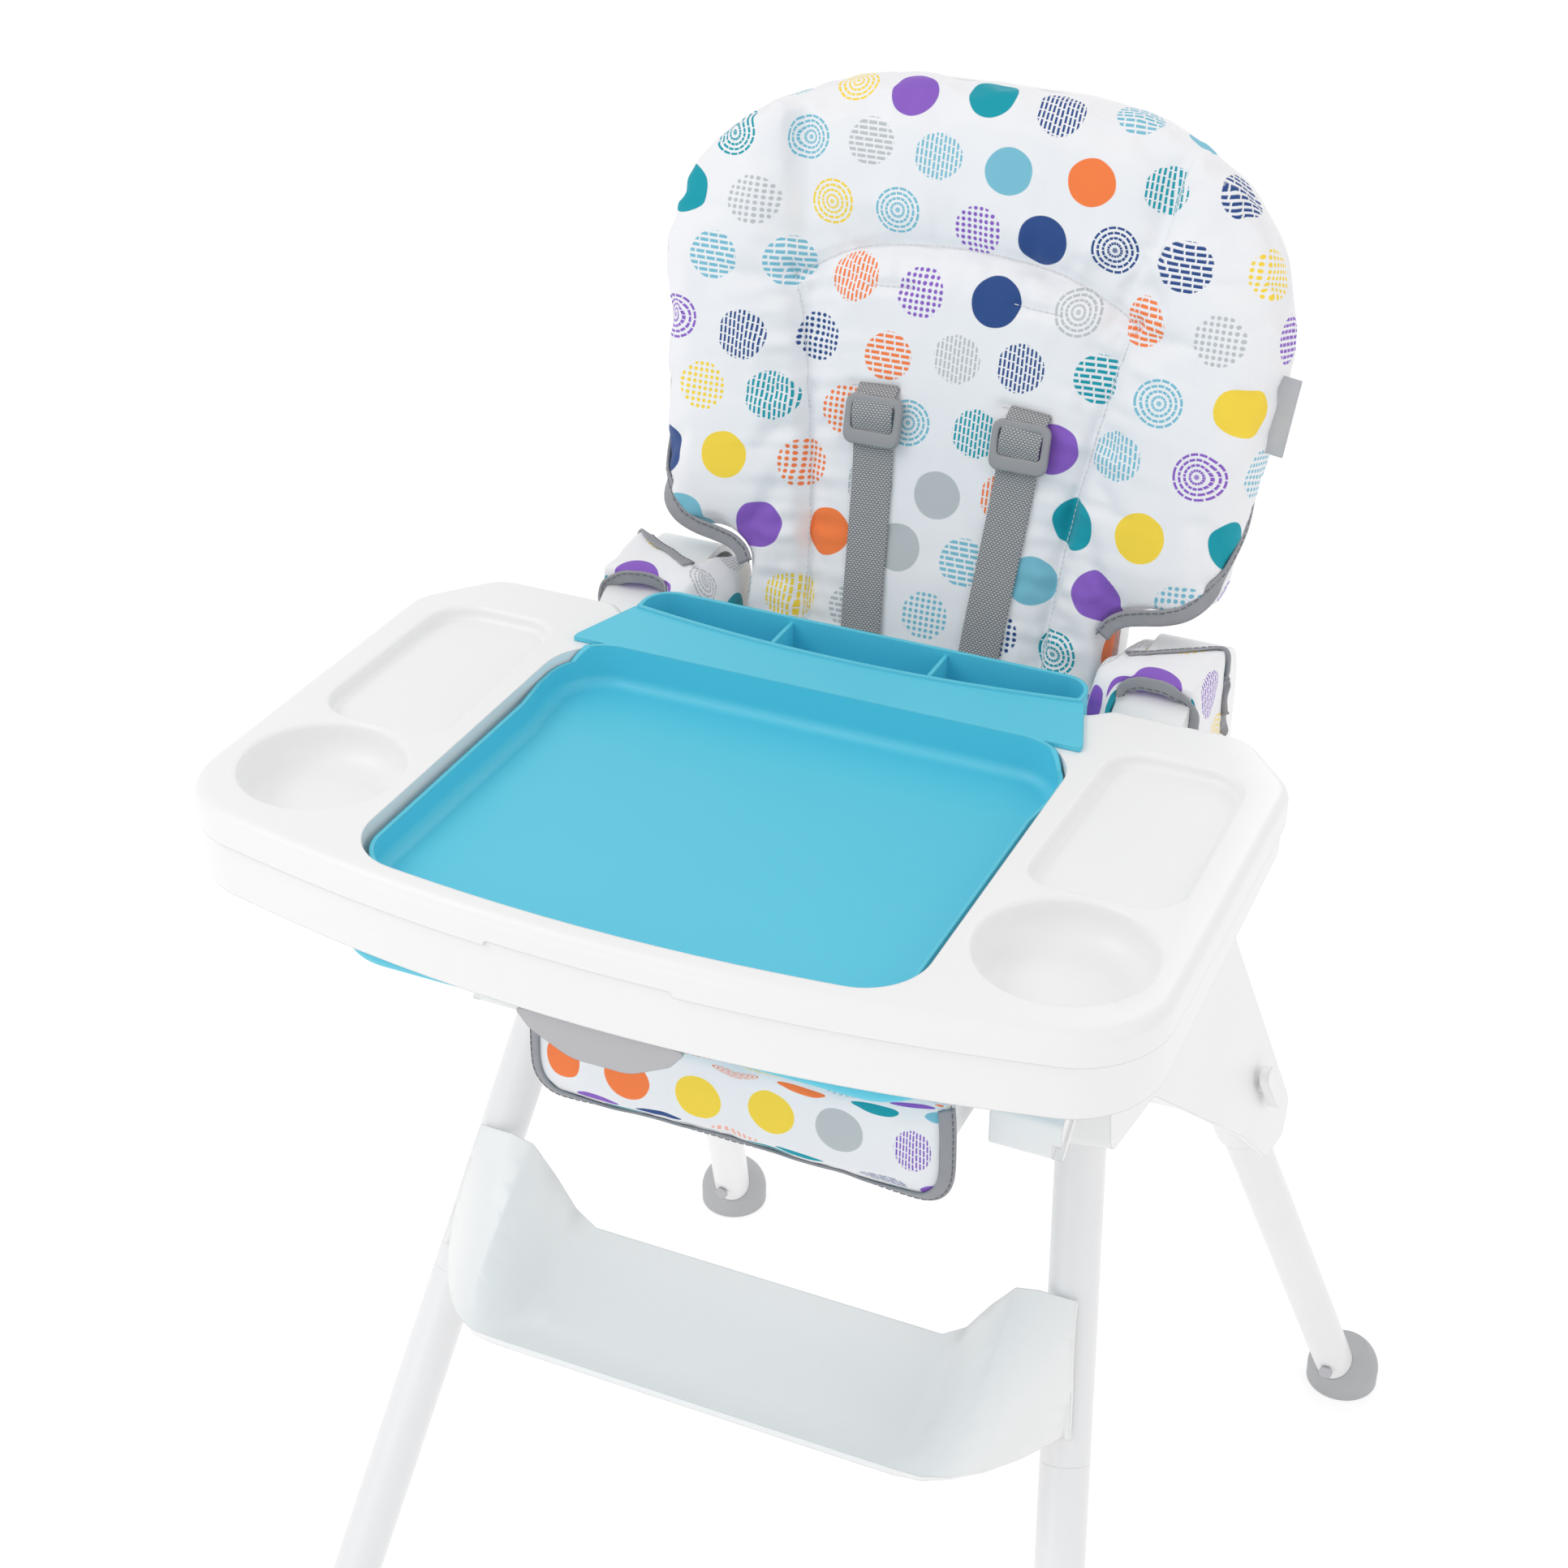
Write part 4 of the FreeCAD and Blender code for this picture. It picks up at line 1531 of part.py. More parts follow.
def insert_pockets():
    """The long box behind the tray's rear edge, split into three pockets."""
    outer = slab_xy(box_outline(0.0), BOX_LOW_Z, BOX_TOP_Z)
    hollow = slab_xy(box_outline(INSERT_WALL), BOX_LOW_Z + INSERT_WALL, BOX_TOP_Z + 1)
    shell = outer.cut(hollow)
    walls = []
    for x in (-DIVIDER_X, DIVIDER_X):
        sheet = box(x - INSERT_WALL / 2, x + INSERT_WALL / 2, TRAY_REAR_BOW_Y, BOX_REAR_Y,
                    BOX_LOW_Z + 1, LEDGE_Z - 2)
        walls.append(sheet.common(outer))
    return fuse([shell] + walls)


def insert_ledge():
    """The flat shelf from the pan's rear wall to the pockets, over the tray's rear rim."""
    tip_y = WELL_REAR_Y + 1.0
    tip = WELL_HALF - INSERT_GAP
    front_y = WELL_REAR_Y - INSERT_GAP - INSERT_WALL
    box_y = BOX_FRONT_Y + 2.0
    outline = [(-tip, front_y, 1.0), (tip, front_y, 1.0), (tip, tip_y, 2.0), (BOX_HALF + 1.0, box_y, 3.0),
               (-BOX_HALF - 1.0, box_y, 3.0), (-tip, tip_y, 2.0)]
    ledge = slab_xy(outline, LEDGE_Z - LEDGE_THICK, LEDGE_Z)
    return ledge.cut(slab_xy(box_outline(INSERT_WALL), BOX_LOW_Z, BOX_TOP_Z + 1))


def tray_insert():
    """The lift-out liner: a pan in the well, a ledge over the rear rim and three pockets."""
    return fuse([insert_tub(), insert_ledge(), insert_pockets()])


# ---------------------------------------------------------------- all the nodes
def save_sides(name, maker):
    for side, sign in SIDES:
        save(maker(sign), name + "_" + side)


def save_legs_and_hubs():
    save_sides("front_leg", front_leg)
    save_sides("front_leg_extension", front_extension)
    save_sides("rear_leg", rear_leg)
    for end, rear in (("front", False), ("rear", True)):
        save_sides(end + "_foot", lambda sign: foot(sign, rear))
        screws = [on_side(foot_screw(rear), sign) for name, sign in SIDES]
        save(Part.Compound(screws), end + "_foot_screws")
    save_sides("hub_outer", hub_outer)
    save_sides("hub_inner", hub_inner)
    save(hub_screws(), "hub_screws")
    save(pivot_pins(), "pivot_pins")
    save(front_cross_tube(), "front_cross_tube")
    save(rear_cross_tube(), "rear_cross_tube")
    save_sides("leg_bracket", leg_bracket)
    save(bracket_rivets(), "bracket_rivets")
    save_sides("fold_button", fold_button)
    save(footrest(), "footrest")
    save(footrest_screws(), "footrest_screws")


def save_seat():
    save(seat_pan(), "seat_pan")
    save_sides("arm", arm)
    save(seat_screws(), "seat_screws")
    save(hinge_pins(), "back_hinge_pins")
    save(seat_pad(), "seat_pad")
    save(seat_flap(), "seat_flap")
    save_sides("side_pad", side_pad)
    save(crotch_strap(), "crotch_strap")
    save(waist_straps(), "waist_straps")
    save(buckle(), "buckle")
    save(buckle_button(), "buckle_button")
    save(buckle_tongues(), "buckle_tongues")


def save_back():
    save(back_shell(), "back_shell")
    save(back_pad(), "back_pad")
    save_sides("wing", wing)
    save_sides("shoulder_strap", shoulder_strap)
    save(ladder_locks(), "ladder_locks")
    save(side_tag(), "side_tag")
    save(recline_handle(), "recline_handle")


def save_tray():
    save(tray_top(), "tray_top")
    save(tray_skirt(), "tray_skirt")
    save(tray_bottom_cover(), "tray_bottom_cover")
    save_sides("tray_runner", tray_runner)
    save(tray_screws(), "tray_screws")
    save(tray_handle(), "tray_handle")
    save_sides("tray_latch", tray_latch)
    save(tray_insert(), "tray_insert")


save_legs_and_hubs()
save_seat()
save_back()
save_tray()
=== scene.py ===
# %% [markdown]
# # A folding baby high chair
# The chair is steel tube, moulded plastic and a padded cover. The hard parts come from a packed
# CAD model and keep its shapes. This script dresses them: it gives each finish its own material,
# and it builds the soft parts, the webbing, the bindings and the stitching.
# Everything is in metres. The floor is at z = 0 and the child faces -Y.

# %% The fixed frame
import json
import math
import bmesh
import bpy
import numpy as np
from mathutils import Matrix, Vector, noise


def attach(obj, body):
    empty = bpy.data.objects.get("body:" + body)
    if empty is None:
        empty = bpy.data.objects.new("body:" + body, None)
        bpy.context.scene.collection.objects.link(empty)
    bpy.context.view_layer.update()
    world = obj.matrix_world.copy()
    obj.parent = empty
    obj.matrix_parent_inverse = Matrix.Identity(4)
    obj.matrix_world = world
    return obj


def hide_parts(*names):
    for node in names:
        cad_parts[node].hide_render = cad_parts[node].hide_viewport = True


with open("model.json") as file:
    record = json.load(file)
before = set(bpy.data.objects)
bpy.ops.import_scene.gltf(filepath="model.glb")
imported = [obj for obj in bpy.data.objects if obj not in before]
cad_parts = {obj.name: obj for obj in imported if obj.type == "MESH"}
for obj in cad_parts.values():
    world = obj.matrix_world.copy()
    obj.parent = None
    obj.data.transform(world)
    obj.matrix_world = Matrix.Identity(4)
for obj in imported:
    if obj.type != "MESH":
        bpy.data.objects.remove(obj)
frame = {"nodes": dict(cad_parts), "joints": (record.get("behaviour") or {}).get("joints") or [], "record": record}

scene = bpy.context.scene
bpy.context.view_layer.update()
hinge = next(j for j in frame["joints"] if j["name"] == "back_recline")
HINGE = np.array(Vector(hinge["pos_m"]))
BACK_TILT = math.radians(14.7)
print("nodes", len(frame["nodes"]), "hinge of the back", HINGE.round(4))

# %% [markdown]
# ## Where the camera stands
# The chair is looked at from above and a little from the +X side, with a long lens, so the seat
# back and the whole tray show and the legs run down out of the picture.

# %% Camera
CAMERA_PLACE = (0.52329, -1.26382, 1.47829)
CAMERA_TURN = (58.978, 0.0, 24.575)
CAMERA_LENS = 63.07


def new_object(name, data):
    """An object of the data, linked to the scene."""
    made = bpy.data.objects.new(name, data)
    scene.collection.objects.link(made)
    return made


def add_camera():
    data = bpy.data.cameras.new("camera")
    data.lens = CAMERA_LENS
    data.sensor_width = 36.0
    data.clip_start = 0.05
    camera = new_object("camera", data)
    camera.location = CAMERA_PLACE
    camera.rotation_euler = [math.radians(a) for a in CAMERA_TURN]
    scene.camera = camera


add_camera()
print("camera at", CAMERA_PLACE, "with a lens of", CAMERA_LENS, "mm")

# %% [markdown]
# ## Studio
# A white product picture has soft light from every side. One large lamp above, on the -X side,
# gives the forms their shade, and a weaker one fills in from +X. A third stands behind, a low
# one in front reaches the legs, and the world and the floor send in the rest. The camera's own
# rays, and mirrored ones, meet a white world and a bright floor instead, so the background is
# white without more light falling on the chair.

# %% Helpers for node trees
def nodes_of(owner):
    """The emptied node tree of a material or a world."""
    owner.use_nodes = True
    tree = owner.node_tree
    tree.nodes.clear()
    return tree


def new_material(name):
    material = bpy.data.materials.new(name)
    return material, nodes_of(material)


def add(tree, kind, sockets=None, **props):
    """A node with its properties and inputs set; an input that is a socket is linked."""
    made = tree.nodes.new(kind)
    for key, value in props.items():
        setattr(made, key, value)
    for key, value in (sockets or {}).items():
        if isinstance(value, bpy.types.NodeSocket):
            tree.links.new(value, made.inputs[key])
        else:
            made.inputs[key].default_value = value
    return made


def first_of(tree, kind, sockets=None, **props):
    """The first output of a new node."""
    return add(tree, kind, sockets, **props).outputs[0]


def spread(tree, value, low, high):
    return first_of(tree, "ShaderNodeMapRange", {0: value, 3: low, 4: high})


def calc(tree, operation, first, second=0.0):
    return first_of(tree, "ShaderNodeMath", {0: first, 1: second}, operation=operation)


# %% World and floor
FLOOR_SIZE = 14.0
WORLD_LEVEL = 0.75
VIEW_LEVEL = 1.0
FLOOR_GLOW = 0.68
FLOOR_LIFT = 0.16
FLOOR_SHADED = 0.42
FLOOR_TONES = (0.93, 0.96)


def seen_directly(tree):
    """1 for a ray from the camera, or one that is mirrored or passes through, and else 0."""
    ray = add(tree, "ShaderNodeLightPath").outputs
    either = calc(tree, "MAXIMUM", ray["Is Camera Ray"], ray["Is Glossy Ray"])
    return calc(tree, "MAXIMUM", either, ray["Is Transmission Ray"])


def light_world():
    world = bpy.data.worlds.new("studio")
    scene.world = world
    tree = nodes_of(world)
    glow, view = [first_of(tree, "ShaderNodeBackground", {"Color": (1, 1, 1, 1), "Strength": level})
                  for level in (WORLD_LEVEL, VIEW_LEVEL)]
    mix = first_of(tree, "ShaderNodeMixShader", {0: seen_directly(tree), 1: glow, 2: view})
    add(tree, "ShaderNodeOutputWorld", {0: mix})


def floor_paint():
    """A dull pale floor that lights the chair from below, and a bright one for the camera."""
    material, tree = new_material("pale_floor")
    grain = first_of(tree, "ShaderNodeTexNoise", {"Scale": 3.0, "Detail": 2.0})
    shaded = (FLOOR_SHADED, FLOOR_SHADED, FLOOR_SHADED, 1)
    sides = []
    for colour, level in ((spread(tree, grain, *FLOOR_TONES), FLOOR_LIFT), (shaded, FLOOR_GLOW)):
        dull = first_of(tree, "ShaderNodeBsdfDiffuse", {"Color": colour})
        glow = first_of(tree, "ShaderNodeEmission", {"Strength": level})
        sides.append(first_of(tree, "ShaderNodeAddShader", {0: dull, 1: glow}))
    mix = first_of(tree, "ShaderNodeMixShader", {0: seen_directly(tree), 1: sides[0], 2: sides[1]})
    add(tree, "ShaderNodeOutputMaterial", {0: mix})
    return material


def lay_floor():
    mesh = bpy.data.meshes.new("floor")
    half = FLOOR_SIZE / 2
    corners = [(-half, -half, 0), (half, -half, 0), (half, half, 0), (-half, half, 0)]
    mesh.from_pydata(corners, [], [(0, 1, 2, 3)])
    mesh.materials.append(floor_paint())
    new_object("floor", mesh)


light_world()
lay_floor()
print("world at", WORLD_LEVEL, "and for the camera", VIEW_LEVEL, "over a floor of", FLOOR_SIZE, "m")

# %% Lamps
# Each lamp's place, where it looks, its size in metres and its power in watts.
LAMPS = {
    "key": ((-1.6, -1.4, 2.9), (0, 0, 0.7), 1.8, 19),
    "fill": ((2.4, -0.6, 1.8), (0, 0, 0.6), 2.0, 7),
    "rear": ((0.2, 2.4, 2.2), (0, 0, 0.7), 1.6, 10),
    "low": ((-1.0, -2.3, 0.45), (0, 0, 0.35), 1.6, 4),
}


def area_lamp(name, place, aim, size, power):
    data = bpy.data.lights.new(name, "AREA")
    data.shape = "DISK"
    data.size = size
    data.energy = power
    lamp = new_object(name, data)
    lamp.location = place
    lamp.rotation_euler = (Vector(aim) - Vector(place)).to_track_quat("-Z", "Y").to_euler()


for name, settings in LAMPS.items():
    area_lamp(name, *settings)
scene.view_settings.view_transform = "Standard"
print("lamps", list(LAMPS))

# %% [markdown]
# ## Finishes of the hard parts
# Moulded plastic isn't one flat colour. It has a fine spark-eroded grain, its gloss changes a
# little from place to place, and each edge is slightly round. The round edge is a Bevel node
# that bends the normal near an edge, and the grain is a small bump on top of it.

# %% Plastics, paint, rubber and steel
def srgb(text):
    """A colour in linear light from its usual six hex digits."""
    parts = [int(text[i:i + 2], 16) / 255 for i in (0, 2, 4)]
    return tuple(p / 12.92 if p <= 0.04045 else ((p + 0.055) / 1.055) ** 2.4 for p in parts) + (1.0,)


def object_noise(tree, scale, detail):
    place = add(tree, "ShaderNodeTexCoord").outputs["Object"]
    return first_of(tree, "ShaderNodeTexNoise", {"Vector": place, "Scale": scale, "Detail": detail})


def between(tree, share, first, second):
    """A colour from first to second as share goes from 0 to 1."""
    return add(tree, "ShaderNodeMix", {0: share, 6: first, 7: second}, data_type="RGBA").outputs[2]


CLOUD_SCALE = 6.0
GLOSS_SCALE = 22.0
GLOSS_SPREAD = 0.05
GRAIN_DEPTH = 0.0004
COAT_ROUGHNESS = 0.25


def hard_finish(name, colour, shade, rough, grain, grain_scale, edge, metal, coat):
    material, tree = new_material(name)
    skin = between(tree, object_noise(tree, CLOUD_SCALE, 3.0), srgb(colour), srgb(shade))
    gloss = spread(tree, object_noise(tree, GLOSS_SCALE, 4.0), rough - GLOSS_SPREAD, rough + GLOSS_SPREAD)
    round_edge = first_of(tree, "ShaderNodeBevel", {"Radius": edge}, samples=4)
    bump = first_of(tree, "ShaderNodeBump", {
        "Strength": grain, "Distance": GRAIN_DEPTH, "Height": object_noise(tree, grain_scale, 2.0),
        "Normal": round_edge})
    surface = first_of(tree, "ShaderNodeBsdfPrincipled", {
        "Base Color": skin, "Roughness": gloss, "Metallic": metal, "Coat Weight": coat,
        "Coat Roughness": COAT_ROUGHNESS, "Normal": bump})
    add(tree, "ShaderNodeOutputMaterial", {0: surface})
    return material


# Colour, shade, roughness, grain, how fine the grain is, the edge's radius, metal and clear coat.
HARD_LOOKS = {
    "white_paint": ("F1F1F2", "EAEAEB", 0.34, 0.03, 500.0, 0.0006, 0.0, 0.3),
    "white_plastic": ("F6F6F6", "F1F1F1", 0.36, 0.05, 1100.0, 0.0012, 0.0, 0.0),
    "teal_plastic": ("5BCDE5", "51C7E1", 0.42, 0.05, 1100.0, 0.0012, 0.0, 0.0),
    "grey_plastic": ("9C9C9F", "929296", 0.42, 0.08, 900.0, 0.0008, 0.0, 0.0),
    "handle_grey": ("BDBDC0", "B3B3B7", 0.40, 0.08, 900.0, 0.0010, 0.0, 0.0),
    "foot_grey": ("B9BABC", "AEAFB2", 0.58, 0.12, 700.0, 0.0010, 0.0, 0.0),
    "bright_steel": ("C9C9CC", "A9A9AE", 0.30, 0.10, 700.0, 0.0003, 1.0, 0.0),
}
FINISH = {name: hard_finish(name, *look) for name, look in HARD_LOOKS.items()}
print("hard finishes", sorted(FINISH))

# %% [markdown]
# ## Smooth shading on the hard parts
# A CAD mesh is loose triangles. A Weld modifier joins them and Edge Split opens the sharp edges
# again, so that tubes and rounds shade smoothly while flat faces stay crisp.

# %% Dress the CAD nodes
SLOT_OF = {s["node"]: s["material_slot"] for s in frame["record"]["subparts"]}
SHARP = math.radians(32.0)
SHARP_FOOTREST = math.radians(62.0)
MERGE_DISTANCE = 0.00001


def drop_custom_normals(mesh):
    for name in ("custom_normal", "sharp_edge", "sharp_face"):
        if name in mesh.attributes:
            mesh.attributes.remove(mesh.attributes[name])


def smooth_faces(piece):
    piece.data.polygons.foreach_set("use_smooth", [True] * len(piece.data.polygons))


def smooth_hard(piece, sharp):
    drop_custom_normals(piece.data)
    smooth_faces(piece)
    piece.modifiers.new("join", "WELD").merge_threshold = MERGE_DISTANCE
    piece.modifiers.new("crisp", "EDGE_SPLIT").split_angle = sharp


def paint(piece, material):
    piece.data.materials.clear()
    piece.data.materials.append(material)


for name, piece in frame["nodes"].items():
    if SLOT_OF[name] in FINISH:
        smooth_hard(piece, SHARP_FOOTREST if name == "footrest" else SHARP)
        paint(piece, FINISH["handle_grey" if name == "tray_handle" else SLOT_OF[name]])
print("dressed", sum(SLOT_OF[n] in FINISH for n in frame["nodes"]), "hard nodes")

# %% [markdown]
# ## The printed cover
# The cover is white woven polyester with a loose print of dots. Some dots are solid, and others
# are filled with stripes, rings or small spots. A print follows the cloth, so each soft piece
# carries its own flat coordinates in an attribute called "print", in metres, and the material
# reads them. The dots sit in staggered rows, each pushed a little from its place, and a random
# number per cell picks the colour and the filling.

# %% Small helpers for value maths in a node tree
def times(tree, first, second):
    return calc(tree, "MULTIPLY", first, second)


def centred(tree, value):
    """A value from 0 to 1, measured from the middle of its range."""
    return calc(tree, "SUBTRACT", value, 0.5)


def reach(tree, x, y):
    """How far (x, y) lies from the middle."""
    return calc(tree, "SQRT", calc(tree, "ADD", times(tree, x, x), times(tree, y, y)))


def split(tree, vector):
    parts = add(tree, "ShaderNodeSeparateXYZ", {0: vector}).outputs
    return parts[0], parts[1], parts[2]


def joined(tree, x, y):
    return first_of(tree, "ShaderNodeCombineXYZ", {0: x, 1: y})


def print_place(tree):
    """The place in the cloth's own flat coordinates."""
    flat = add(tree, "ShaderNodeAttribute", attribute_name="print").outputs["Vector"]
    u, v, _ = split(tree, flat)
    return u, v


def stepped(tree, value, edge, soft):
    """1 where value is under edge and 0 above it, with a thin soft border."""
    ends = {0: value, 1: edge - soft, 2: edge + soft, 3: 1.0, 4: 0.0}
    return first_of(tree, "ShaderNodeMapRange", ends)


def wrapped(tree, value, period):
    """value's place inside its period, from 0 to 1."""
    return calc(tree, "FRACT", calc(tree, "DIVIDE", value, period))


def dice(tree, cell, seed):
    """A random number from 0 to 1 for each cell."""
    moved = first_of(tree, "ShaderNodeVectorMath", {0: cell, 1: (seed, seed * 2.7, 0)}, operation="ADD")
    return first_of(tree, "ShaderNodeTexWhiteNoise", {"Vector": moved}, noise_dimensions="2D")


# %% The dots, cell by cell
DOT_PITCH = 0.0435
ROW_PITCH = DOT_PITCH * 0.88
DOT_SHIFT = 0.007
ACROSS_SEED, UP_SEED = 3.1, 8.3


def dot_cells(tree, u, v):
    """The number of each dot's cell, and the place inside it measured from the dot's centre."""
    row_place = calc(tree, "DIVIDE", v, ROW_PITCH)
    row = calc(tree, "FLOOR", row_place)
    stagger = times(tree, calc(tree, "FLOORED_MODULO", row, 2.0), 0.5)
    column_place = calc(tree, "ADD", calc(tree, "DIVIDE", u, DOT_PITCH), stagger)
    cell = joined(tree, calc(tree, "FLOOR", column_place), row)
    inside = []
    for place, pitch, seed in ((column_place, DOT_PITCH, ACROSS_SEED), (row_place, ROW_PITCH, UP_SEED)):
        middle = times(tree, centred(tree, calc(tree, "FRACT", place)), pitch)
        shift = times(tree, centred(tree, dice(tree, cell, seed)), DOT_SHIFT)
        inside.append(calc(tree, "SUBTRACT", middle, shift))
    return cell, inside[0], inside[1]


print("dots every", DOT_PITCH, "m in rows", round(ROW_PITCH, 4), "m apart")

# %% What fills a dot, and its colour
SOLID_SHARE = 0.40
DASH_SHARE = 0.84
RING_TURN = 0.0085
SPOT_PITCH = 0.0036
SPOT_RADIUS = 0.33
DOT_COLOURS = ["8F62C8", "FF8447", "FFDD4A", "2F4F8C", "109FB0", "7EC3D8", "C3C8CB"]
DASH_SEED = 5.2
FILLING_SEED = 13.9
COLOUR_SEED = 21.7


def hatching(tree, over, along, pitch, dash, share):
    """Lines at a pitch, each broken into hand-drawn dashes that start at a random place."""
    line = calc(tree, "FLOOR", calc(tree, "DIVIDE", over, pitch))
    start = dice(tree, joined(tree, line, 0.0), DASH_SEED)
    place = calc(tree, "FRACT", calc(tree, "ADD", calc(tree, "DIVIDE", along, dash), start))
    return times(tree, stepped(tree, wrapped(tree, over, pitch), share, 0.08),
                 stepped(tree, place, DASH_SHARE, 0.05))


def dot_fillings(tree, x, y, from_centre):
    """Four fillings as masks: stripes across, stripes upright, rings and small spots."""
    across = hatching(tree, y, x, pitch=0.0034, dash=0.0062, share=0.55)
    upright = hatching(tree, x, y, pitch=0.0026, dash=0.0050, share=0.50)
    turn = times(tree, calc(tree, "ARCTAN2", y, x), RING_TURN)
    rings = hatching(tree, from_centre, turn, pitch=0.0030, dash=0.0034, share=0.48)
    in_spot = [centred(tree, wrapped(tree, way, SPOT_PITCH)) for way in (x, y)]
    spots = stepped(tree, reach(tree, *in_spot), SPOT_RADIUS, 0.06)
    return [across, upright, rings, spots]


def pick_filling(tree, choice, fillings):
    """1 for a solid dot, or one of the fillings where the random number says so."""
    share = (1.0 - SOLID_SHARE) / len(fillings)
    result = 1.0
    for i, filling in enumerate(fillings):
        chosen = calc(tree, "GREATER_THAN", choice, SOLID_SHARE + share * i)
        result = first_of(tree, "ShaderNodeMix", {0: chosen, 2: result, 3: filling}, data_type="FLOAT")
    return result


def dot_colour(tree, cell):
    ramp = add(tree, "ShaderNodeValToRGB", {0: dice(tree, cell, COLOUR_SEED)})
    ramp.color_ramp.interpolation = "CONSTANT"
    marks = ramp.color_ramp.elements
    for i, text in enumerate(DOT_COLOURS):
        mark = marks[0] if i == 0 else marks.new(i / len(DOT_COLOURS))
        mark.color = srgb(text)
    marks.remove(marks[-1])
    return ramp.outputs[0]


print("dots in", len(DOT_COLOURS), "colours, solid in a share of", SOLID_SHARE)

# %% The weave and the surface of a cloth
WEAVE_DEPTH = 0.0003


def weave_bump(tree, u, v, pitch, strength):
    """Over and under threads as a small bump, crossing at the pitch."""
    warp, weft = [calc(tree, "SINE", times(tree, way, math.tau / pitch)) for way in (u, v)]
    cloud = times(tree, object_noise(tree, 60.0, 3.0), 2.0)
    height = calc(tree, "ADD", times(tree, warp, weft), cloud)
    sockets = {"Strength": strength, "Distance": WEAVE_DEPTH, "Height": height}
    return first_of(tree, "ShaderNodeBump", sockets)


def cloth_surface(tree, colour, rough, normal, sheen=0.15):
    surface = first_of(tree, "ShaderNodeBsdfPrincipled", {
        "Base Color": colour, "Roughness": rough, "Sheen Weight": sheen, "Sheen Roughness": 0.4,
        "Specular IOR Level": 0.25, "Normal": normal})
    add(tree, "ShaderNodeOutputMaterial", {0: surface})


# %% The cloths
DOT_RADIUS = 0.0142
DOT_BORDER = 0.00025
DOT_WOBBLE = 0.0022
PLAIN_ROUGHNESS = 0.8
PLAIN_WEAVE = 0.3
WEBBING_ROW = 0.0013
WEBBING_FLECK = 0.0022
FLECK_RADIUS = 0.38


def printed_cloth():
    material, tree = new_material("dotted_fabric")
    u, v = print_place(tree)
    cell, x, y = dot_cells(tree, u, v)
    radius = reach(tree, x, y)
    wobble = times(tree, centred(tree, object_noise(tree, 55.0, 1.0)), DOT_WOBBLE)
    disc = stepped(tree, calc(tree, "ADD", radius, wobble), DOT_RADIUS, DOT_BORDER)
    fill = pick_filling(tree, dice(tree, cell, FILLING_SEED), dot_fillings(tree, x, y, radius))
    ground = between(tree, object_noise(tree, 30.0, 4.0), srgb("F9F9FB"), srgb("F2F2F6"))
    colour = between(tree, times(tree, disc, fill), ground, dot_colour(tree, cell))
    cloth_surface(tree, colour, 0.72, weave_bump(tree, u, v, 0.0007, 0.25))
    return material


def plain_cloth(name, colour, shade, pitch):
    """One colour of thread in a plain weave, from the side and the height of each place."""
    material, tree = new_material(name)
    u, _, v = split(tree, add(tree, "ShaderNodeTexCoord").outputs["Object"])
    tone = between(tree, object_noise(tree, 140.0, 4.0), srgb(colour), srgb(shade))
    cloth_surface(tree, tone, PLAIN_ROUGHNESS, weave_bump(tree, u, v, pitch, PLAIN_WEAVE))
    return material


def webbing_cloth():
    """Flat nylon webbing: staggered pale flecks between dark grey threads, in rows along the strap."""
    material, tree = new_material("grey_webbing")
    u, v = print_place(tree)
    row = calc(tree, "FLOOR", calc(tree, "DIVIDE", v, WEBBING_ROW))
    shift = times(tree, calc(tree, "FLOORED_MODULO", row, 2.0), WEBBING_FLECK / 2)
    along = centred(tree, wrapped(tree, v, WEBBING_ROW))
    side = centred(tree, wrapped(tree, calc(tree, "ADD", u, shift), WEBBING_FLECK))
    fleck = stepped(tree, reach(tree, along, side), FLECK_RADIUS, 0.12)
    colour = between(tree, fleck, srgb("737477"), srgb("C2C2C4"))
    bump = first_of(tree, "ShaderNodeBump", {"Strength": 0.6, "Distance": 0.0004, "Height": fleck})
    cloth_surface(tree, colour, 0.75, bump, 0.1)
    return material


CLOTH = {
    "dots": printed_cloth(),
    "webbing": webbing_cloth(),
    "binding": plain_cloth("grey_binding", "A3A4A9", "97989D", 0.0008),
    "tab": plain_cloth("tab_fabric", "C9CACD", "BFC0C4", 0.0006),
    "thread": plain_cloth("thread", "F4F4F6", "E2E2E6", 0.0004),
    "grey_thread": plain_cloth("grey_thread", "6E6F74", "85868B", 0.0004),
}
print("cloths", sorted(CLOTH))

# %% [markdown]
# ## Padded pieces
# A stuffed cover is best blown up like a balloon. The plain CAD solids of a piece are joined,
# remeshed into even squares, smoothed, and then run through the cloth solver with a little
# pressure and no gravity. Where the real cover is stitched through, the points are pinned, so
# the cloth pulls in there. A cap on how far a point may move keeps the piece in its space.
# The result is applied as plain mesh, and the seams are pressed in after it.

# %% Take solids from the CAD, and apply modifiers
RELAX_SHARE = 0.5


def solids_of(name, *cad_names):
    """One new object from copies of CAD nodes, with their loose triangles joined."""
    shape = bmesh.new()
    for cad_name in cad_names:
        shape.from_mesh(frame["nodes"][cad_name].data)
    bmesh.ops.remove_doubles(shape, verts=shape.verts, dist=MERGE_DISTANCE)
    mesh = bpy.data.meshes.new(name)
    shape.to_mesh(mesh)
    shape.free()
    drop_custom_normals(mesh)
    return new_object(name, mesh)


def baked(piece):
    """The same object with its modifiers applied to a plain mesh."""
    graph = bpy.context.evaluated_depsgraph_get()
    mesh = bpy.data.meshes.new_from_object(piece.evaluated_get(graph))
    old = piece.data
    piece.modifiers.clear()
    piece.data = mesh
    bpy.data.meshes.remove(old)
    return piece


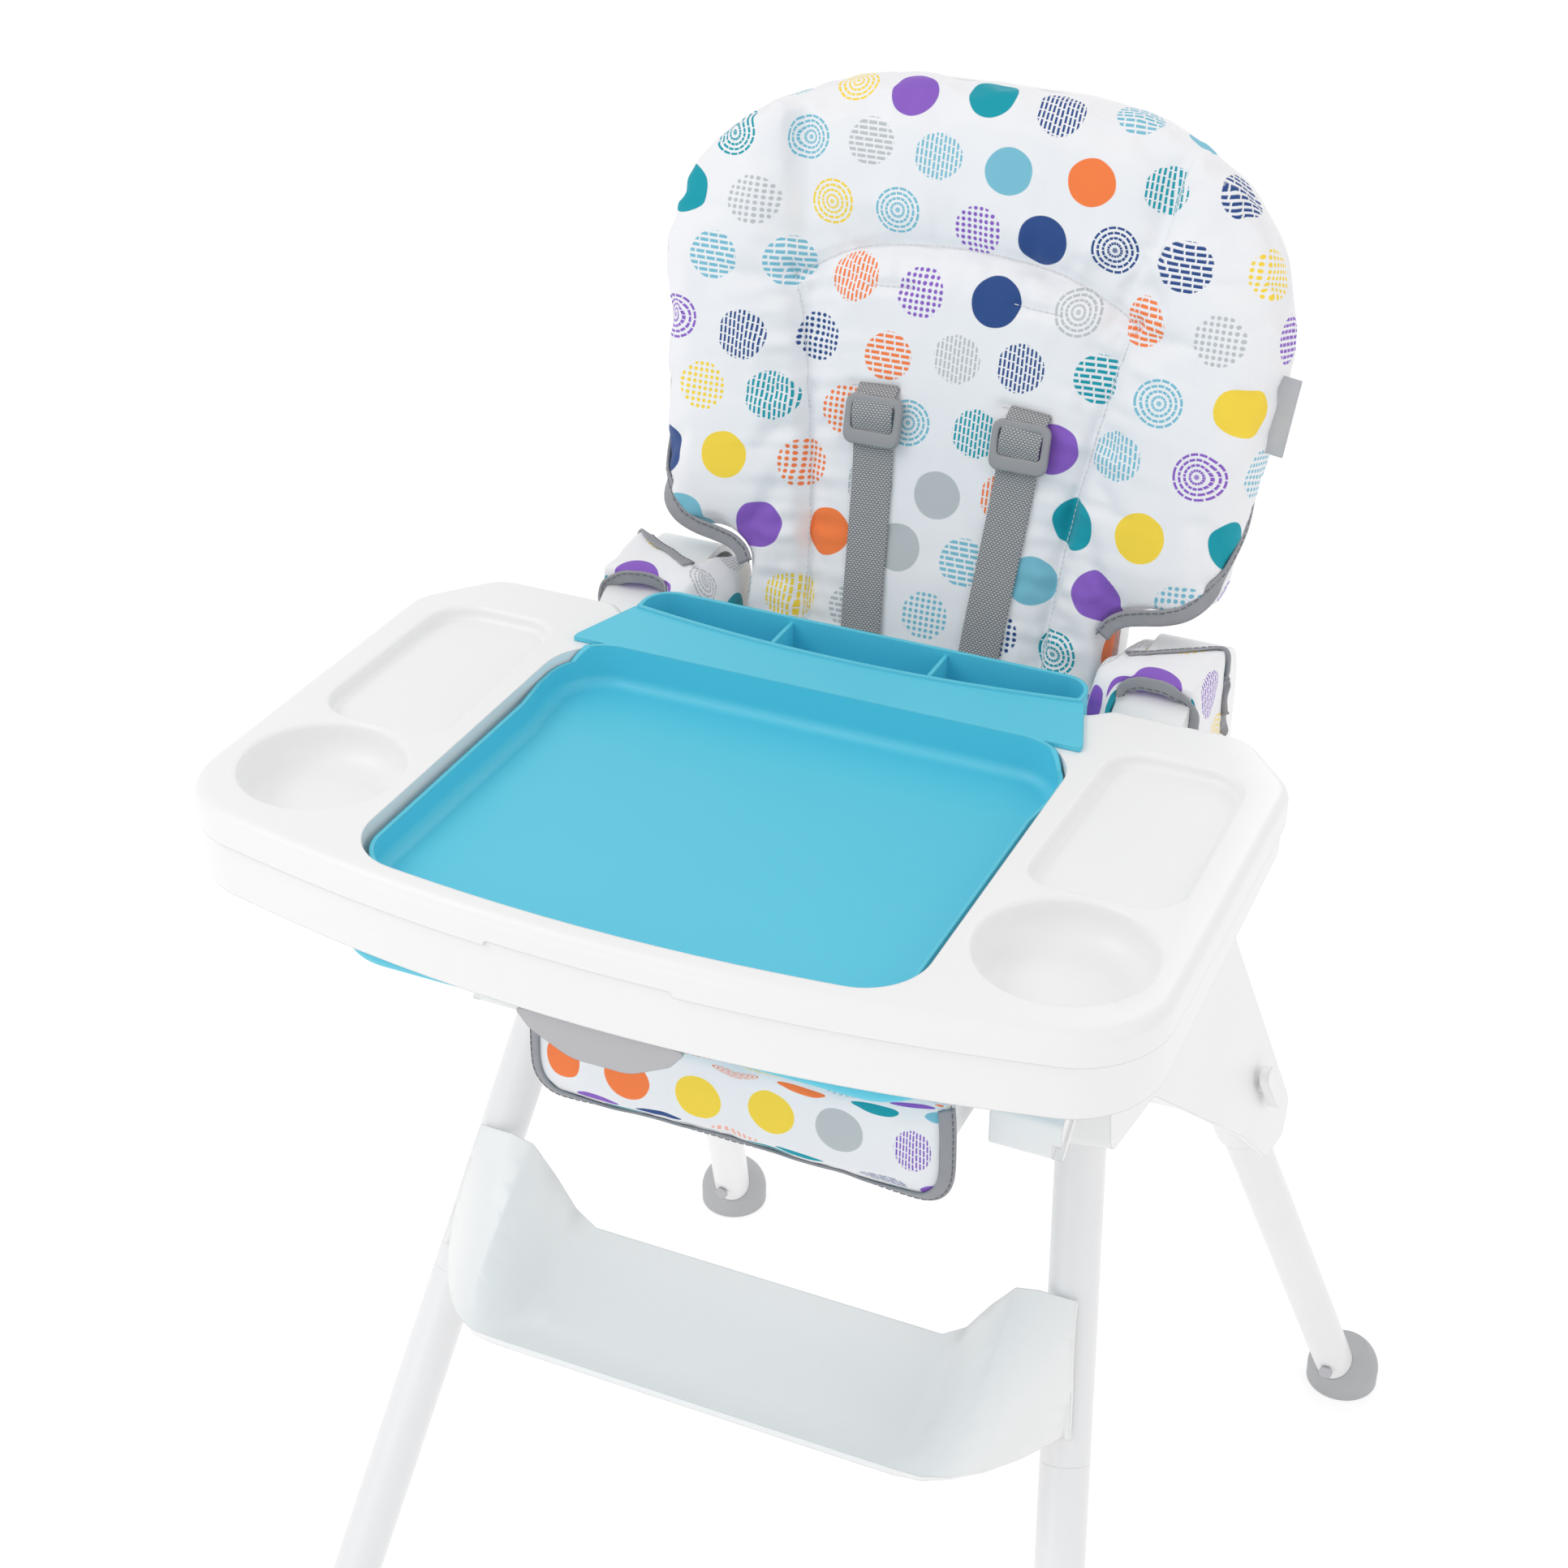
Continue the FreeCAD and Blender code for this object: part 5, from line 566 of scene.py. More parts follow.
def remeshed(piece, voxel):
    even = piece.modifiers.new("even", "REMESH")
    even.mode = "VOXEL"
    even.voxel_size = voxel
    return baked(piece)


def relaxed(piece, rounds):
    soft = piece.modifiers.new("relax", "SMOOTH")
    soft.iterations = rounds
    soft.factor = RELAX_SHARE
    return baked(piece)


def refined(piece):
    finer = piece.modifiers.new("finer", "SUBSURF")
    finer.levels = finer.render_levels = 1
    return baked(piece)


# %% Read and move points, and blow a cover up
PUFF_FRAMES = 20
CLOTH_QUALITY = 5
CLOTH_MASS = 0.3


def read_points(piece, field):
    """A field of three numbers at every point, such as its place."""
    numbers = np.empty(len(piece.data.vertices) * 3, np.float32)
    piece.data.vertices.foreach_get(field, numbers)
    return numbers.reshape(-1, 3).astype(float)


def points_of(piece):
    return read_points(piece, "co")


def normals_of(piece):
    return read_points(piece, "normal")


def move_points(piece, points):
    piece.data.vertices.foreach_set("co", points.astype(np.float32).ravel())
    piece.data.update()


def pinned_group(piece, weights):
    group = piece.vertex_groups.new(name="pinned")
    for index in np.nonzero(weights > 0.01)[0]:
        group.add([int(index)], float(min(weights[index], 1.0)), "REPLACE")
    return group.name


def puffed(piece, pins, pressure, cap, spare):
    """Run the cloth solver on the piece and keep its last shape, each point moved at most by cap."""
    before = points_of(piece)
    cloth = piece.modifiers.new("puff", "CLOTH")
    cloth.settings.quality = CLOTH_QUALITY
    cloth.settings.mass = CLOTH_MASS
    cloth.settings.use_pressure = True
    cloth.settings.uniform_pressure_force = pressure
    cloth.settings.shrink_min = -spare
    cloth.settings.effector_weights.gravity = 0.0
    cloth.settings.vertex_group_mass = pinned_group(piece, pins)
    cloth.collision_settings.use_collision = False
    for step in range(1, PUFF_FRAMES + 1):
        scene.frame_set(step)
    baked(piece)
    scene.frame_set(1)
    moved = points_of(piece) - before
    far = np.linalg.norm(moved, axis=1, keepdims=True)
    move_points(piece, before + moved * np.minimum(1.0, cap / np.maximum(far, 1e-9)))
    piece.vertex_groups.clear()
    print(piece.name, "puffed", len(before), "points, most", round(float(far.max()) * 1000, 1), "mm")


# %% Give a soft piece its print and hand it over
def set_print(piece, flat):
    """Store the flat cloth coordinates, two numbers per point, as the attribute the print reads."""
    attribute = piece.data.attributes.new("print", "FLOAT_VECTOR", "POINT")
    full = np.zeros((len(flat), 3), np.float32)
    full[:, :2] = flat
    attribute.data.foreach_set("vector", full.ravel())


def finish_piece(piece, material, body, replaced=()):
    smooth_faces(piece)
    paint(piece, material)
    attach(piece, body)
    if replaced:
        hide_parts(*replaced)
    print(piece.name, len(piece.data.polygons), "faces on", body)
    return piece


# %% [markdown]
# ## The back's own directions
# The back leans, so its seams are easiest to describe on the back itself: x to the side, n
# through the padding to the rear, and t up along the panel from the hinge.

# %% Into the back's directions and out again
N_WAY = np.array([0.0, math.cos(BACK_TILT), -math.sin(BACK_TILT)])
T_WAY = np.array([0.0, math.sin(BACK_TILT), math.cos(BACK_TILT)])
X_WAY = np.array([1.0, 0.0, 0.0])
BACK_AXES = np.array([X_WAY, N_WAY, T_WAY])


def on_back(points):
    """Points in the frame as (x, n, t) of the back."""
    return (np.asarray(points, float) - HINGE) @ BACK_AXES.T


def off_back(local):
    """Points (x, n, t) of the back as points in the frame."""
    return np.asarray(local, float) @ BACK_AXES + HINGE


def gap_to_line(local, line):
    """How far each (x, t) lies from a run of straight lines, and how far along it that place is."""
    x, t = local[:, 0], local[:, 2]
    nearest = np.full(len(x), np.inf)
    along = np.zeros(len(x))
    gone = 0.0
    for (ax, at), (bx, bt) in zip(line[:-1], line[1:]):
        length = math.hypot(bx - ax, bt - at)
        share = np.clip(((x - ax) * (bx - ax) + (t - at) * (bt - at)) / length ** 2, 0, 1)
        gap = np.hypot(x - (ax + share * (bx - ax)), t - (at + share * (bt - at)))
        closer = gap < nearest
        nearest = np.where(closer, gap, nearest)
        along = np.where(closer, gone + share * length, along)
        gone += length
    return nearest, along


# %% [markdown]
# ## The back cover
# The padded back is one cover: a flat middle between two thicker side bolsters, all of one
# printed cloth. Two long seams part the bolsters from the middle, and an arched seam crosses
# above the strap slots. Seams pull the cloth in and make short puckers across them.

# %% Seam lines of the back cover, in metres on the back
SIDE_SEAM = [(0.073, 0.009), (0.077, 0.150), (0.084, 0.225), (0.0975, 0.300), (0.106, 0.325)]
ARCH_SEAM = [(-0.104, 0.322), (-0.075, 0.339), (-0.045, 0.346), (0.0, 0.349), (0.045, 0.345),
             (0.075, 0.336), (0.104, 0.322)]
SLOT_LINES = [[(-0.060, 0.264), (-0.033, 0.266)], [(0.033, 0.266), (0.060, 0.264)],
              [(-0.058, 0.322), (-0.032, 0.324)], [(0.032, 0.324), (0.058, 0.322)]]


def mirrored_line(line):
    return [(-x, t) for x, t in line]


BACK_SEAMS = [SIDE_SEAM, mirrored_line(SIDE_SEAM), ARCH_SEAM]
print("seams", len(BACK_SEAMS), "strap slots", len(SLOT_LINES))

# %% Press the seams in
SEAM_DEPTH, SEAM_WIDTH = 0.0052, 0.0042
SLOT_DEPTH, SLOT_WIDTH = 0.0026, 0.0035
PUCKER_HEIGHT = 0.0010
PUCKER_REACH = 0.020
PUCKER_CLEAR = 0.003
PUCKER_PITCH, FINE_PITCH = 0.019, 0.0113
FRONT_SIDE = -0.25


def press_seams(piece):
    """Sink the front of the cover along each seam, with short puckers that run across it."""
    local = on_back(points_of(piece))
    facing = normals_of(piece) @ N_WAY < FRONT_SIDE
    sink = np.zeros(len(local))
    for number, line in enumerate(BACK_SEAMS):
        gap, along = gap_to_line(local, line)
        groove = SEAM_DEPTH * np.exp(-(gap / SEAM_WIDTH) ** 2)
        fold = (np.sin(along * math.tau / PUCKER_PITCH + number * 1.7)
                + 0.6 * np.sin(along * math.tau / FINE_PITCH + 2.1))
        near = np.exp(-gap / PUCKER_REACH) * (1 - np.exp(-(gap / PUCKER_CLEAR) ** 2))
        sink += groove + PUCKER_HEIGHT * fold * near
    for line in SLOT_LINES:
        gap, _ = gap_to_line(local, line)
        sink += SLOT_DEPTH * np.exp(-(gap / SLOT_WIDTH) ** 2)
    local[:, 1] += np.where(facing, sink, 0.0)
    move_points(piece, off_back(local))


# %% Even, slacken and turn the cloth
CROWN_BETWEEN = (0.350, 0.440)
CROWN_DROP = 0.0048
SHOULDER_FROM, SHOULDER_SPAN = 0.040, 0.100
SHOULDER_DRAW = 0.0040
UPRIGHT_SHARE = 0.6


def evened(piece, values, rounds):
    """Unit directions at the points, each averaged with its neighbours' a number of times."""
    ends = np.empty(len(piece.data.edges) * 2, np.int32)
    piece.data.edges.foreach_get("vertices", ends)
    first, last = ends.reshape(-1, 2).T
    count = np.bincount(ends, minlength=len(values))[:, None]
    for _ in range(rounds):
        total = np.zeros_like(values)
        for k in range(values.shape[1]):
            total[:, k] = (np.bincount(first, values[last, k], len(values))
                           + np.bincount(last, values[first, k], len(values)))
        values = (values + total / count) / 2
    return values / np.linalg.norm(values, axis=1, keepdims=True)


def loose_cloth(piece, height, scale, seed):
    """Slack unevenness of a cover that isn't pulled tight, along the normals and longer upwards."""
    points = points_of(piece)
    rise = [noise.noise(Vector((p[0] + seed, p[1], p[2] * UPRIGHT_SHARE)) * scale) for p in points]
    move_points(piece, points + normals_of(piece) * (np.array(rise) * height)[:, None])


def eased(value, low, high):
    """0 up to low and 1 from high on, with a smooth step between."""
    share = np.clip((value - low) / (high - low), 0, 1)
    return share * share * (3 - 2 * share)


def slack_crown(local):
    """The cover sits lower than its foam over the crown, and the shoulder on -X is drawn in."""
    high = eased(local[:, 2], *CROWN_BETWEEN)
    shoulder = high * np.clip((-local[:, 0] - SHOULDER_FROM) / SHOULDER_SPAN, 0, 1)
    return local + np.stack([shoulder * SHOULDER_DRAW, 0 * high, -high * CROWN_DROP], axis=1)


def turned(lean):
    """How far the skin has turned towards an axis, with its sign."""
    return np.sign(lean) * lean ** 2


# %% Make the back cover
BACK_VOXEL = 0.0048
BACK_REST_N = -0.0220
REAR_PINS_N = -0.0265
SEAM_PIN_REACH = 0.004
SIDE_WRAP_N, END_WRAP_N = 0.052, 0.045


def back_cover():
    piece = solids_of("back_cover", "back_pad", "wing_left", "wing_right")
    remeshed(piece, BACK_VOXEL)
    relaxed(piece, 10)
    local = on_back(points_of(piece))
    pins = (local[:, 1] > REAR_PINS_N).astype(float)
    for line in BACK_SEAMS:
        gap, _ = gap_to_line(local, line)
        pins = np.maximum(pins, np.where(gap < SEAM_PIN_REACH, 0.9, 0.0))
    puffed(piece, pins, pressure=3.0, cap=0.007, spare=0.02)
    refined(piece)
    local = on_back(points_of(piece))
    lean = evened(piece, normals_of(piece), 12) @ BACK_AXES.T
    press_seams(piece)
    loose_cloth(piece, height=0.0015, scale=26.0, seed=3.0)
    loose_cloth(piece, height=0.0005, scale=80.0, seed=7.0)
    settled = on_back(points_of(piece))
    settled[:, 1] = np.minimum(settled[:, 1], BACK_REST_N)
    move_points(piece, off_back(slack_crown(settled)))
    flat = local[:, [0, 2]].copy()
    flat[:, 0] += turned(lean[:, 0]) * (local[:, 1] + SIDE_WRAP_N)
    flat[:, 1] += turned(lean[:, 2]) * (local[:, 1] + END_WRAP_N)
    set_print(piece, flat)
    return finish_piece(piece, CLOTH["dots"], "seat_back",
                        ("back_pad", "wing_left", "wing_right"))


cover = back_cover()

# %% [markdown]
# ## The seat, its flap and the arm covers
# These are the same cloth over thinner foam. The seat lies on the moulded pan, the flap hangs
# in front of it, and a cover wraps each arm beside the child.

# %% A padded piece over one CAD solid
REST_SHARE = 0.6


def flat_print(a, b, c):
    """The print lies flat over the axes a and b, and bends down the sides along c."""
    def unroll(points, lean):
        flat = points[:, [a, b]].copy()
        for column, axis in ((0, a), (1, b)):
            flat[:, column] -= turned(lean[:, axis]) * points[:, c]
        return flat
    return unroll


def soft_block(name, cad_name, rest_way, unroll, cap, pressure, slack=0.0008, rounds=4,
               voxel=0.0042, reshape=None):
    """A padded piece that is pinned where it looks along rest_way, towards what carries it."""
    piece = solids_of(name, cad_name)
    if reshape:
        reshape(piece)
    remeshed(piece, voxel)
    relaxed(piece, rounds)
    pins = (normals_of(piece) @ np.array(rest_way, float) > REST_SHARE).astype(float)
    puffed(piece, pins, pressure, cap, spare=0.01)
    refined(piece)
    points = points_of(piece)
    lean = evened(piece, normals_of(piece), 8)
    loose_cloth(piece, slack, scale=32.0, seed=2.0 * len(name))
    set_print(piece, unroll(points, lean))
    return finish_piece(piece, CLOTH["dots"], "frame", (cad_name,))


def with_block(piece, low, high):
    """Add a plain block to the piece's mesh; the remesh that follows joins them."""
    shape = bmesh.new()
    shape.from_mesh(piece.data)
    made = bmesh.ops.create_cube(shape, size=1.0)["verts"]
    low, high = Vector(low), Vector(high)
    for vert in made:
        vert.co = [low[k] + (vert.co[k] + 0.5) * (high[k] - low[k]) for k in range(3)]
    shape.to_mesh(piece.data)
    shape.free()


# %% The arm covers' shape and print
ARM_COVER_INNER = 0.124
ARM_COVER_TOP = 0.750
CAP_FROM = 0.736
CAP_INNER = 0.139
CAP_EDGE = (0.049, 0.62)
DRAPE_Y = (0.021, 0.083)
DRAPE_X, DRAPE_Z = (0.1804, 0.1850), (0.6880, 0.7470)
CAP_X, CAP_Z = (0.160, 0.1850), (0.7404, 0.7500)


def arm_shape(way):
    """Cloth over the arm's outer side as well, and the cap's rear edge cut on a slant."""
    def reshape(piece):
        for across, up in ((DRAPE_X, DRAPE_Z), (CAP_X, CAP_Z)):
            low, high = sorted(way * x for x in across)
            with_block(piece, (low, DRAPE_Y[0], up[0]), (high, DRAPE_Y[1], up[1]))
        points = points_of(piece)
        edge = CAP_EDGE[0] + (np.abs(points[:, 0]) - CAP_INNER) * CAP_EDGE[1]
        over = (points[:, 2] > CAP_FROM) & (points[:, 1] > edge)
        points[:, 1] = np.where(over, edge, points[:, 1])
        move_points(piece, points)
    return reshape


def arm_unroll(way):
    """The print runs up the inner side, over the cap, down the outer side and down the front."""
    def unroll(points, lean):
        out = np.abs(points[:, 0]) - ARM_COVER_INNER
        wide = DRAPE_X[1] - ARM_COVER_INNER
        shares = np.stack([np.maximum(-way * lean[:, 0], 0) ** 2, lean[:, 2] ** 2,
                           np.maximum(way * lean[:, 0], 0) ** 2]) + 1e-6
        shares /= shares.sum(axis=0)
        round_place = (shares[0] * points[:, 2] + shares[1] * (ARM_COVER_TOP + out)
                       + shares[2] * (2 * ARM_COVER_TOP + wide - points[:, 2]))
        ahead = points[:, 1] - np.maximum(-lean[:, 1], 0) ** 2 * (ARM_COVER_TOP - points[:, 2])
        return np.stack([ahead, round_place], axis=1)
    return unroll


# %% Seat pad, front flap and arm covers
SIDES = (("left", -1), ("right", 1))
soft_block("seat_cushion", "seat_pad", (0, 0, -1), flat_print(0, 1, 2), cap=0.005, pressure=4.0)
soft_block("front_flap", "seat_flap", (0, 1, 0), flat_print(0, 2, 1), cap=0.004, pressure=4.0)
for side, way in SIDES:
    soft_block("arm_cover_" + side, "side_pad_" + side, (way, 0, 0), arm_unroll(way), cap=0.004,
               pressure=3.0, slack=0.0030, rounds=13, voxel=0.0030, reshape=arm_shape(way))

# %% [markdown]
# ## Bands: webbing and edge binding
# A strap is a flat band that follows a path and keeps its face to one side. The band is swept in
# mesh code: at each place on a smoothed path it gets a small rounded section, turned by the
# tangent there and by the way its face looks. It also gets print coordinates, across and along,
# so that the weave runs with the strap.

# %% A smooth run of points, and a band's section
RUN_STEPS = 24
SECTION_CORNER = 4


def smooth_run(points, count):
    """Points evenly spread on a Catmull-Rom curve through the given ones."""
    p = [np.array(q, float) for q in points]
    p = [2 * p[0] - p[1]] + p + [2 * p[-1] - p[-2]]
    dense = []
    for a, b, c, d in zip(p[:-3], p[1:-2], p[2:-1], p[3:]):
        for s in np.linspace(0, 1, RUN_STEPS, endpoint=False):
            dense.append(0.5 * (2 * b + (c - a) * s + (2 * a - 5 * b + 4 * c - d) * s ** 2
                                + (3 * b - a - 3 * c + d) * s ** 3))
    dense.append(p[-2])
    dense = np.array(dense)
    steps = np.linalg.norm(np.diff(dense[:, :3], axis=0), axis=1)
    gone = np.concatenate([[0], np.cumsum(steps)])
    wanted = np.linspace(0, gone[-1], count)
    return np.array([np.interp(wanted, gone, dense[:, k]) for k in range(dense.shape[1])]).T


def band_section(width, thick):
    """A flat section with round edges, as (across, out) pairs in order."""
    half = width / 2 - thick / 2
    around = []
    for centre, start in ((half, -90), (-half, 90)):
        for k in range(SECTION_CORNER + 1):
            turn = math.radians(start + 180.0 * k / SECTION_CORNER)
            around.append((centre + math.cos(turn) * thick / 2, math.sin(turn) * thick / 2))
    flat = []
    for (a, b), (c, d) in zip(around, around[1:] + around[:1]):
        flat.append((a, b))
        if abs(c - a) > thick:
            flat += [(a + (c - a) * k / 4, b + (d - b) * k / 4) for k in (1, 2, 3)]
    return flat


# %% Sweep a band
def band(name, path, faces, width, thick, count):
    """A band along path whose face looks the way that faces gives at each point."""
    both = smooth_run([list(p) + list(f) for p, f in zip(path, faces)], count)
    middle, looks = both[:, :3], both[:, 3:]
    tangents = np.gradient(middle, axis=0)
    section = band_section(width, thick)
    gone = np.concatenate([[0], np.cumsum(np.linalg.norm(np.diff(middle, axis=0), axis=1))])
    points, flat = [], []
    for place, tangent, look, run in zip(middle, tangents, looks, gone):
        tangent = tangent / np.linalg.norm(tangent)
        look = look - tangent * (look @ tangent)
        look = look / np.linalg.norm(look)
        side = np.cross(tangent, look)
        for across, out in section:
            points.append(place + side * across + look * out)
            flat.append((across, run))
    size = len(section)
    faces_made = []
    for i in range(len(middle) - 1):
        for k in range(size):
            a, b = i * size + k, i * size + (k + 1) % size
            faces_made.append((a, b, b + size, a + size))
    faces_made.append(tuple(range(size))[::-1])
    faces_made.append(tuple(range((len(middle) - 1) * size, len(middle) * size)))
    mesh = bpy.data.meshes.new(name)
    mesh.from_pydata([tuple(p) for p in points], [], faces_made)
    shape = bmesh.new()
    shape.from_mesh(mesh)
    bmesh.ops.recalc_face_normals(shape, faces=shape.faces)
    shape.to_mesh(mesh)
    shape.free()
    piece = new_object(name, mesh)
    set_print(piece, np.array(flat))
    return piece


# %% [markdown]
# ## Shoulder straps
# Each strap comes out of a slot in the cover, runs over the bar of its plastic lock in a small
# hump, and goes on down over the padding. Its height is read from the finished cover, so that it
# lies on the cloth and not in it.

# %% Read the cover's front, and lay the shoulder straps on it
STRAP_WIDTH = 0.025
STRAP_THICK = 0.0016
STRAP_TOP = (0.0467, 0.266)
STRAP_LOW = (0.0340, 0.066)
STRAP_SHIFT = 0.0030
STRAP_CLEAR = 0.0012
# How far the strap stands off the cover at each height t: under its slot, a hump, then flat.
STRAP_LIFTS = {0.266: -0.003, 0.260: 0.0030, 0.253: 0.0062, 0.246: 0.0060, 0.237: 0.0025, 0.224: 0,
               0.200: 0, 0.170: 0, 0.140: 0, 0.110: 0, 0.085: 0, 0.066: 0}
COVER_FRONT_N = -0.047
cover_local = on_back(points_of(cover))
cover_front = cover_local[(normals_of(cover) @ N_WAY) < FRONT_SIDE]


def front_of_cover(x, t, around):
    """The foremost n of the cover's front near (x, t)."""
    near = np.hypot(cover_front[:, 0] - x, cover_front[:, 2] - t) < around
    return float(cover_front[near, 1].min()) if near.any() else COVER_FRONT_N


def strap_x(t, way):
    """The middle of a shoulder strap at the height t."""
    share = (STRAP_TOP[1] - t) / (STRAP_TOP[1] - STRAP_LOW[1])
    return (STRAP_TOP[0] + (STRAP_LOW[0] - STRAP_TOP[0]) * share) * way + STRAP_SHIFT * (1 - share)


def shoulder_strap(side, way):
    path = []
    for t, lift in STRAP_LIFTS.items():
        x = strap_x(t, way)
        path.append(off_back([x, front_of_cover(x, t, 0.012) - STRAP_CLEAR - lift, t]))
    piece = band("shoulder_webbing_" + side, path, [-N_WAY] * len(path), STRAP_WIDTH, STRAP_THICK, 90)
    finish_piece(piece, CLOTH["webbing"], "seat_back", ("shoulder_strap_" + side,))


for side, way in SIDES:
    shoulder_strap(side, way)

# %% [markdown]
# ## Strap locks
# A lock is one flat plastic frame with rounded corners and a single window, where the webbing
# shows as it loops over a hidden bar. The frame is a rounded rectangle with a rounded hole,
# given thickness, and a bevel softens its edges.

# %% Lock frames
LOCK_HALF = (0.0175, 0.0148)
LOCK_WINDOW = (0.0130, 0.0080)
LOCK_WINDOW_LIFT = 0.0020
LOCK_T = 0.246
LOCK_THICK = 0.0042
LOCK_CLEAR = 0.0028
CORNER_STEPS = 6


def round_rectangle(half_x, half_y, radius, lift):
    around = []
    for quarter, (sx, sy) in enumerate(((1, 1), (-1, 1), (-1, -1), (1, -1))):
        for k in range(CORNER_STEPS + 1):
            turn = math.radians(90 * quarter + 90 * k / CORNER_STEPS)
            around.append((sx * (half_x - radius) + math.cos(turn) * radius,
                           sy * (half_y - radius) + math.sin(turn) * radius + lift))
    return around


def lock_frame(side, way):
    outer = round_rectangle(*LOCK_HALF, radius=0.006, lift=0)
    inner = round_rectangle(*LOCK_WINDOW, radius=0.0022, lift=LOCK_WINDOW_LIFT)
    middle = strap_x(LOCK_T, way)
    rear = front_of_cover(middle, LOCK_T, 0.018) - LOCK_CLEAR
    shape = bmesh.new()
    rings = []
    for depth in (rear, rear - LOCK_THICK):
        for ring in (outer, inner):
            rings.append([shape.verts.new(off_back([middle + a, depth, LOCK_T + b])) for a, b in ring])
    rear_outer, rear_inner, front_outer, front_inner = rings
    count = len(outer)
    for k in range(count):
        j = (k + 1) % count
        for a, b in ((front_outer, front_inner), (rear_inner, rear_outer), (rear_outer, front_outer),
                     (front_inner, rear_inner)):
            shape.faces.new((a[k], a[j], b[j], b[k]))
    bmesh.ops.recalc_face_normals(shape, faces=shape.faces)
    mesh = bpy.data.meshes.new("lock_frame_" + side)
    shape.to_mesh(mesh)
    shape.free()
    piece = new_object("lock_frame_" + side, mesh)
    soft = piece.modifiers.new("soft", "BEVEL")
    soft.width = 0.0011
    soft.segments = 3
    soft.limit_method = "ANGLE"
    soft.angle_limit = math.radians(50)
    baked(piece)
    return finish_piece(piece, FINISH["grey_plastic"], "seat_back")


lock_frames = [lock_frame(side, way) for side, way in SIDES]
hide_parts("ladder_locks")

# %% [markdown]
# ## Edge binding of the back
# Grey tape is folded over the cover's rear edge and stitched. Over the crown it stays behind the
# padding, and at the lower corners of the bolsters it comes round to the front. The cover's own
# outline is measured in polar steps about a point in the middle of the back, so the tape fits it.

# %% Binding round the back cover
BINDING_WIDTH = 0.0095
BINDING_THICK = 0.0022
POLE = (0.0, 0.250)
LOWEST_TURN = -42.0
BINDING_REAR = -0.0220
BINDING_FRONT = -0.0480
BINDING_TUCK = 0.0050
BINDING_SINK = 0.0065
BINDING_INSET = 0.0036
BINDING_PROUD = 0.0004
RIM_CLEAR = 0.0006
STITCH_PROUD = 0.0002
LEVEL_REACH, RAY_REACH = 0.004, 0.006
# Between these heights t the tape goes from the rim in front to the bolster's side, from there
# back to the padding's rear edge, and from plain sight to its place behind the padding.
RIM_BETWEEN = (0.172, 0.200)
SIDE_BETWEEN = (0.178, 0.250)
TUCK_BETWEEN = (0.215, 0.255)


def outline_place(turn, depth):
    """The cover's outermost (x, t) in the direction turn, at the depth n."""
    way = np.array([math.cos(turn), math.sin(turn)])
    level = np.abs(cover_local[:, 1] - depth) < LEVEL_REACH
    offsets = cover_local[level][:, [0, 2]] - np.array(POLE)
    ahead = offsets @ way
    aside = np.abs(offsets @ np.array([-way[1], way[0]]))
    close = (aside < RAY_REACH) & (ahead > 0)
    return np.array(POLE) + way * float(ahead[close].max()), way


def calmed(rows, rounds):
    """The rows of a path, each averaged with its neighbours a number of times; its ends stay."""
    for _ in range(rounds):
        rows[1:-1] = (rows[:-2] + rows[1:-1] * 2 + rows[2:]) / 4
    return rows


def line_on_tape(path, faces, lift, aside):
    """A line that runs with a tape, lift above its middle and aside from it."""
    across = np.cross(np.gradient(path, axis=0), faces)
    across /= np.linalg.norm(across, axis=1)[:, None]
    return path + faces * lift + across * aside


def back_binding():
    """Behind the padding at the crown, across the bolsters' sides, then on the front rim below."""
    path, faces = [], []
    for turn in np.radians(np.linspace(LOWEST_TURN, 180.0 - LOWEST_TURN, 90)):
        depth = BINDING_REAR
        for _ in range(4):
            place, way = outline_place(turn, depth)
            forward = 1.0 - eased(place[1], *SIDE_BETWEEN)
            depth = BINDING_REAR + (BINDING_FRONT - BINDING_REAR) * forward
        over = 1.0 - eased(place[1], *RIM_BETWEEN)
        tucked = eased(place[1], *TUCK_BETWEEN)
        x, t = place + way * (BINDING_PROUD - BINDING_TUCK * tucked - BINDING_INSET * over)
        rim = front_of_cover(x, t, 0.008) - RIM_CLEAR
        path.append(off_back([x, depth + (rim - depth) * over - BINDING_SINK * tucked, t]))
        look = (off_back([way[0], 0.0, way[1]]) - HINGE) * (1 - over) - N_WAY * over
        faces.append(look / np.linalg.norm(look))
    path, faces = calmed(np.array(path), 2), np.array(faces)
    tape = band("back_binding", path, faces, BINDING_WIDTH, BINDING_THICK, 420)
    finish_piece(tape, CLOTH["binding"], "seat_back")
    return line_on_tape(path, faces, BINDING_THICK / 2 + STITCH_PROUD, -BINDING_WIDTH * 0.30)


binding_seam = back_binding()

# %% [markdown]
# ## Stitches
# Stitches repeat along a path, which is what Geometry Nodes do well. The tree turns a line into a
# curve, spreads points along it at the stitch pitch, and puts a short round thread on each. The
# instances are made real, because an export drops instances.

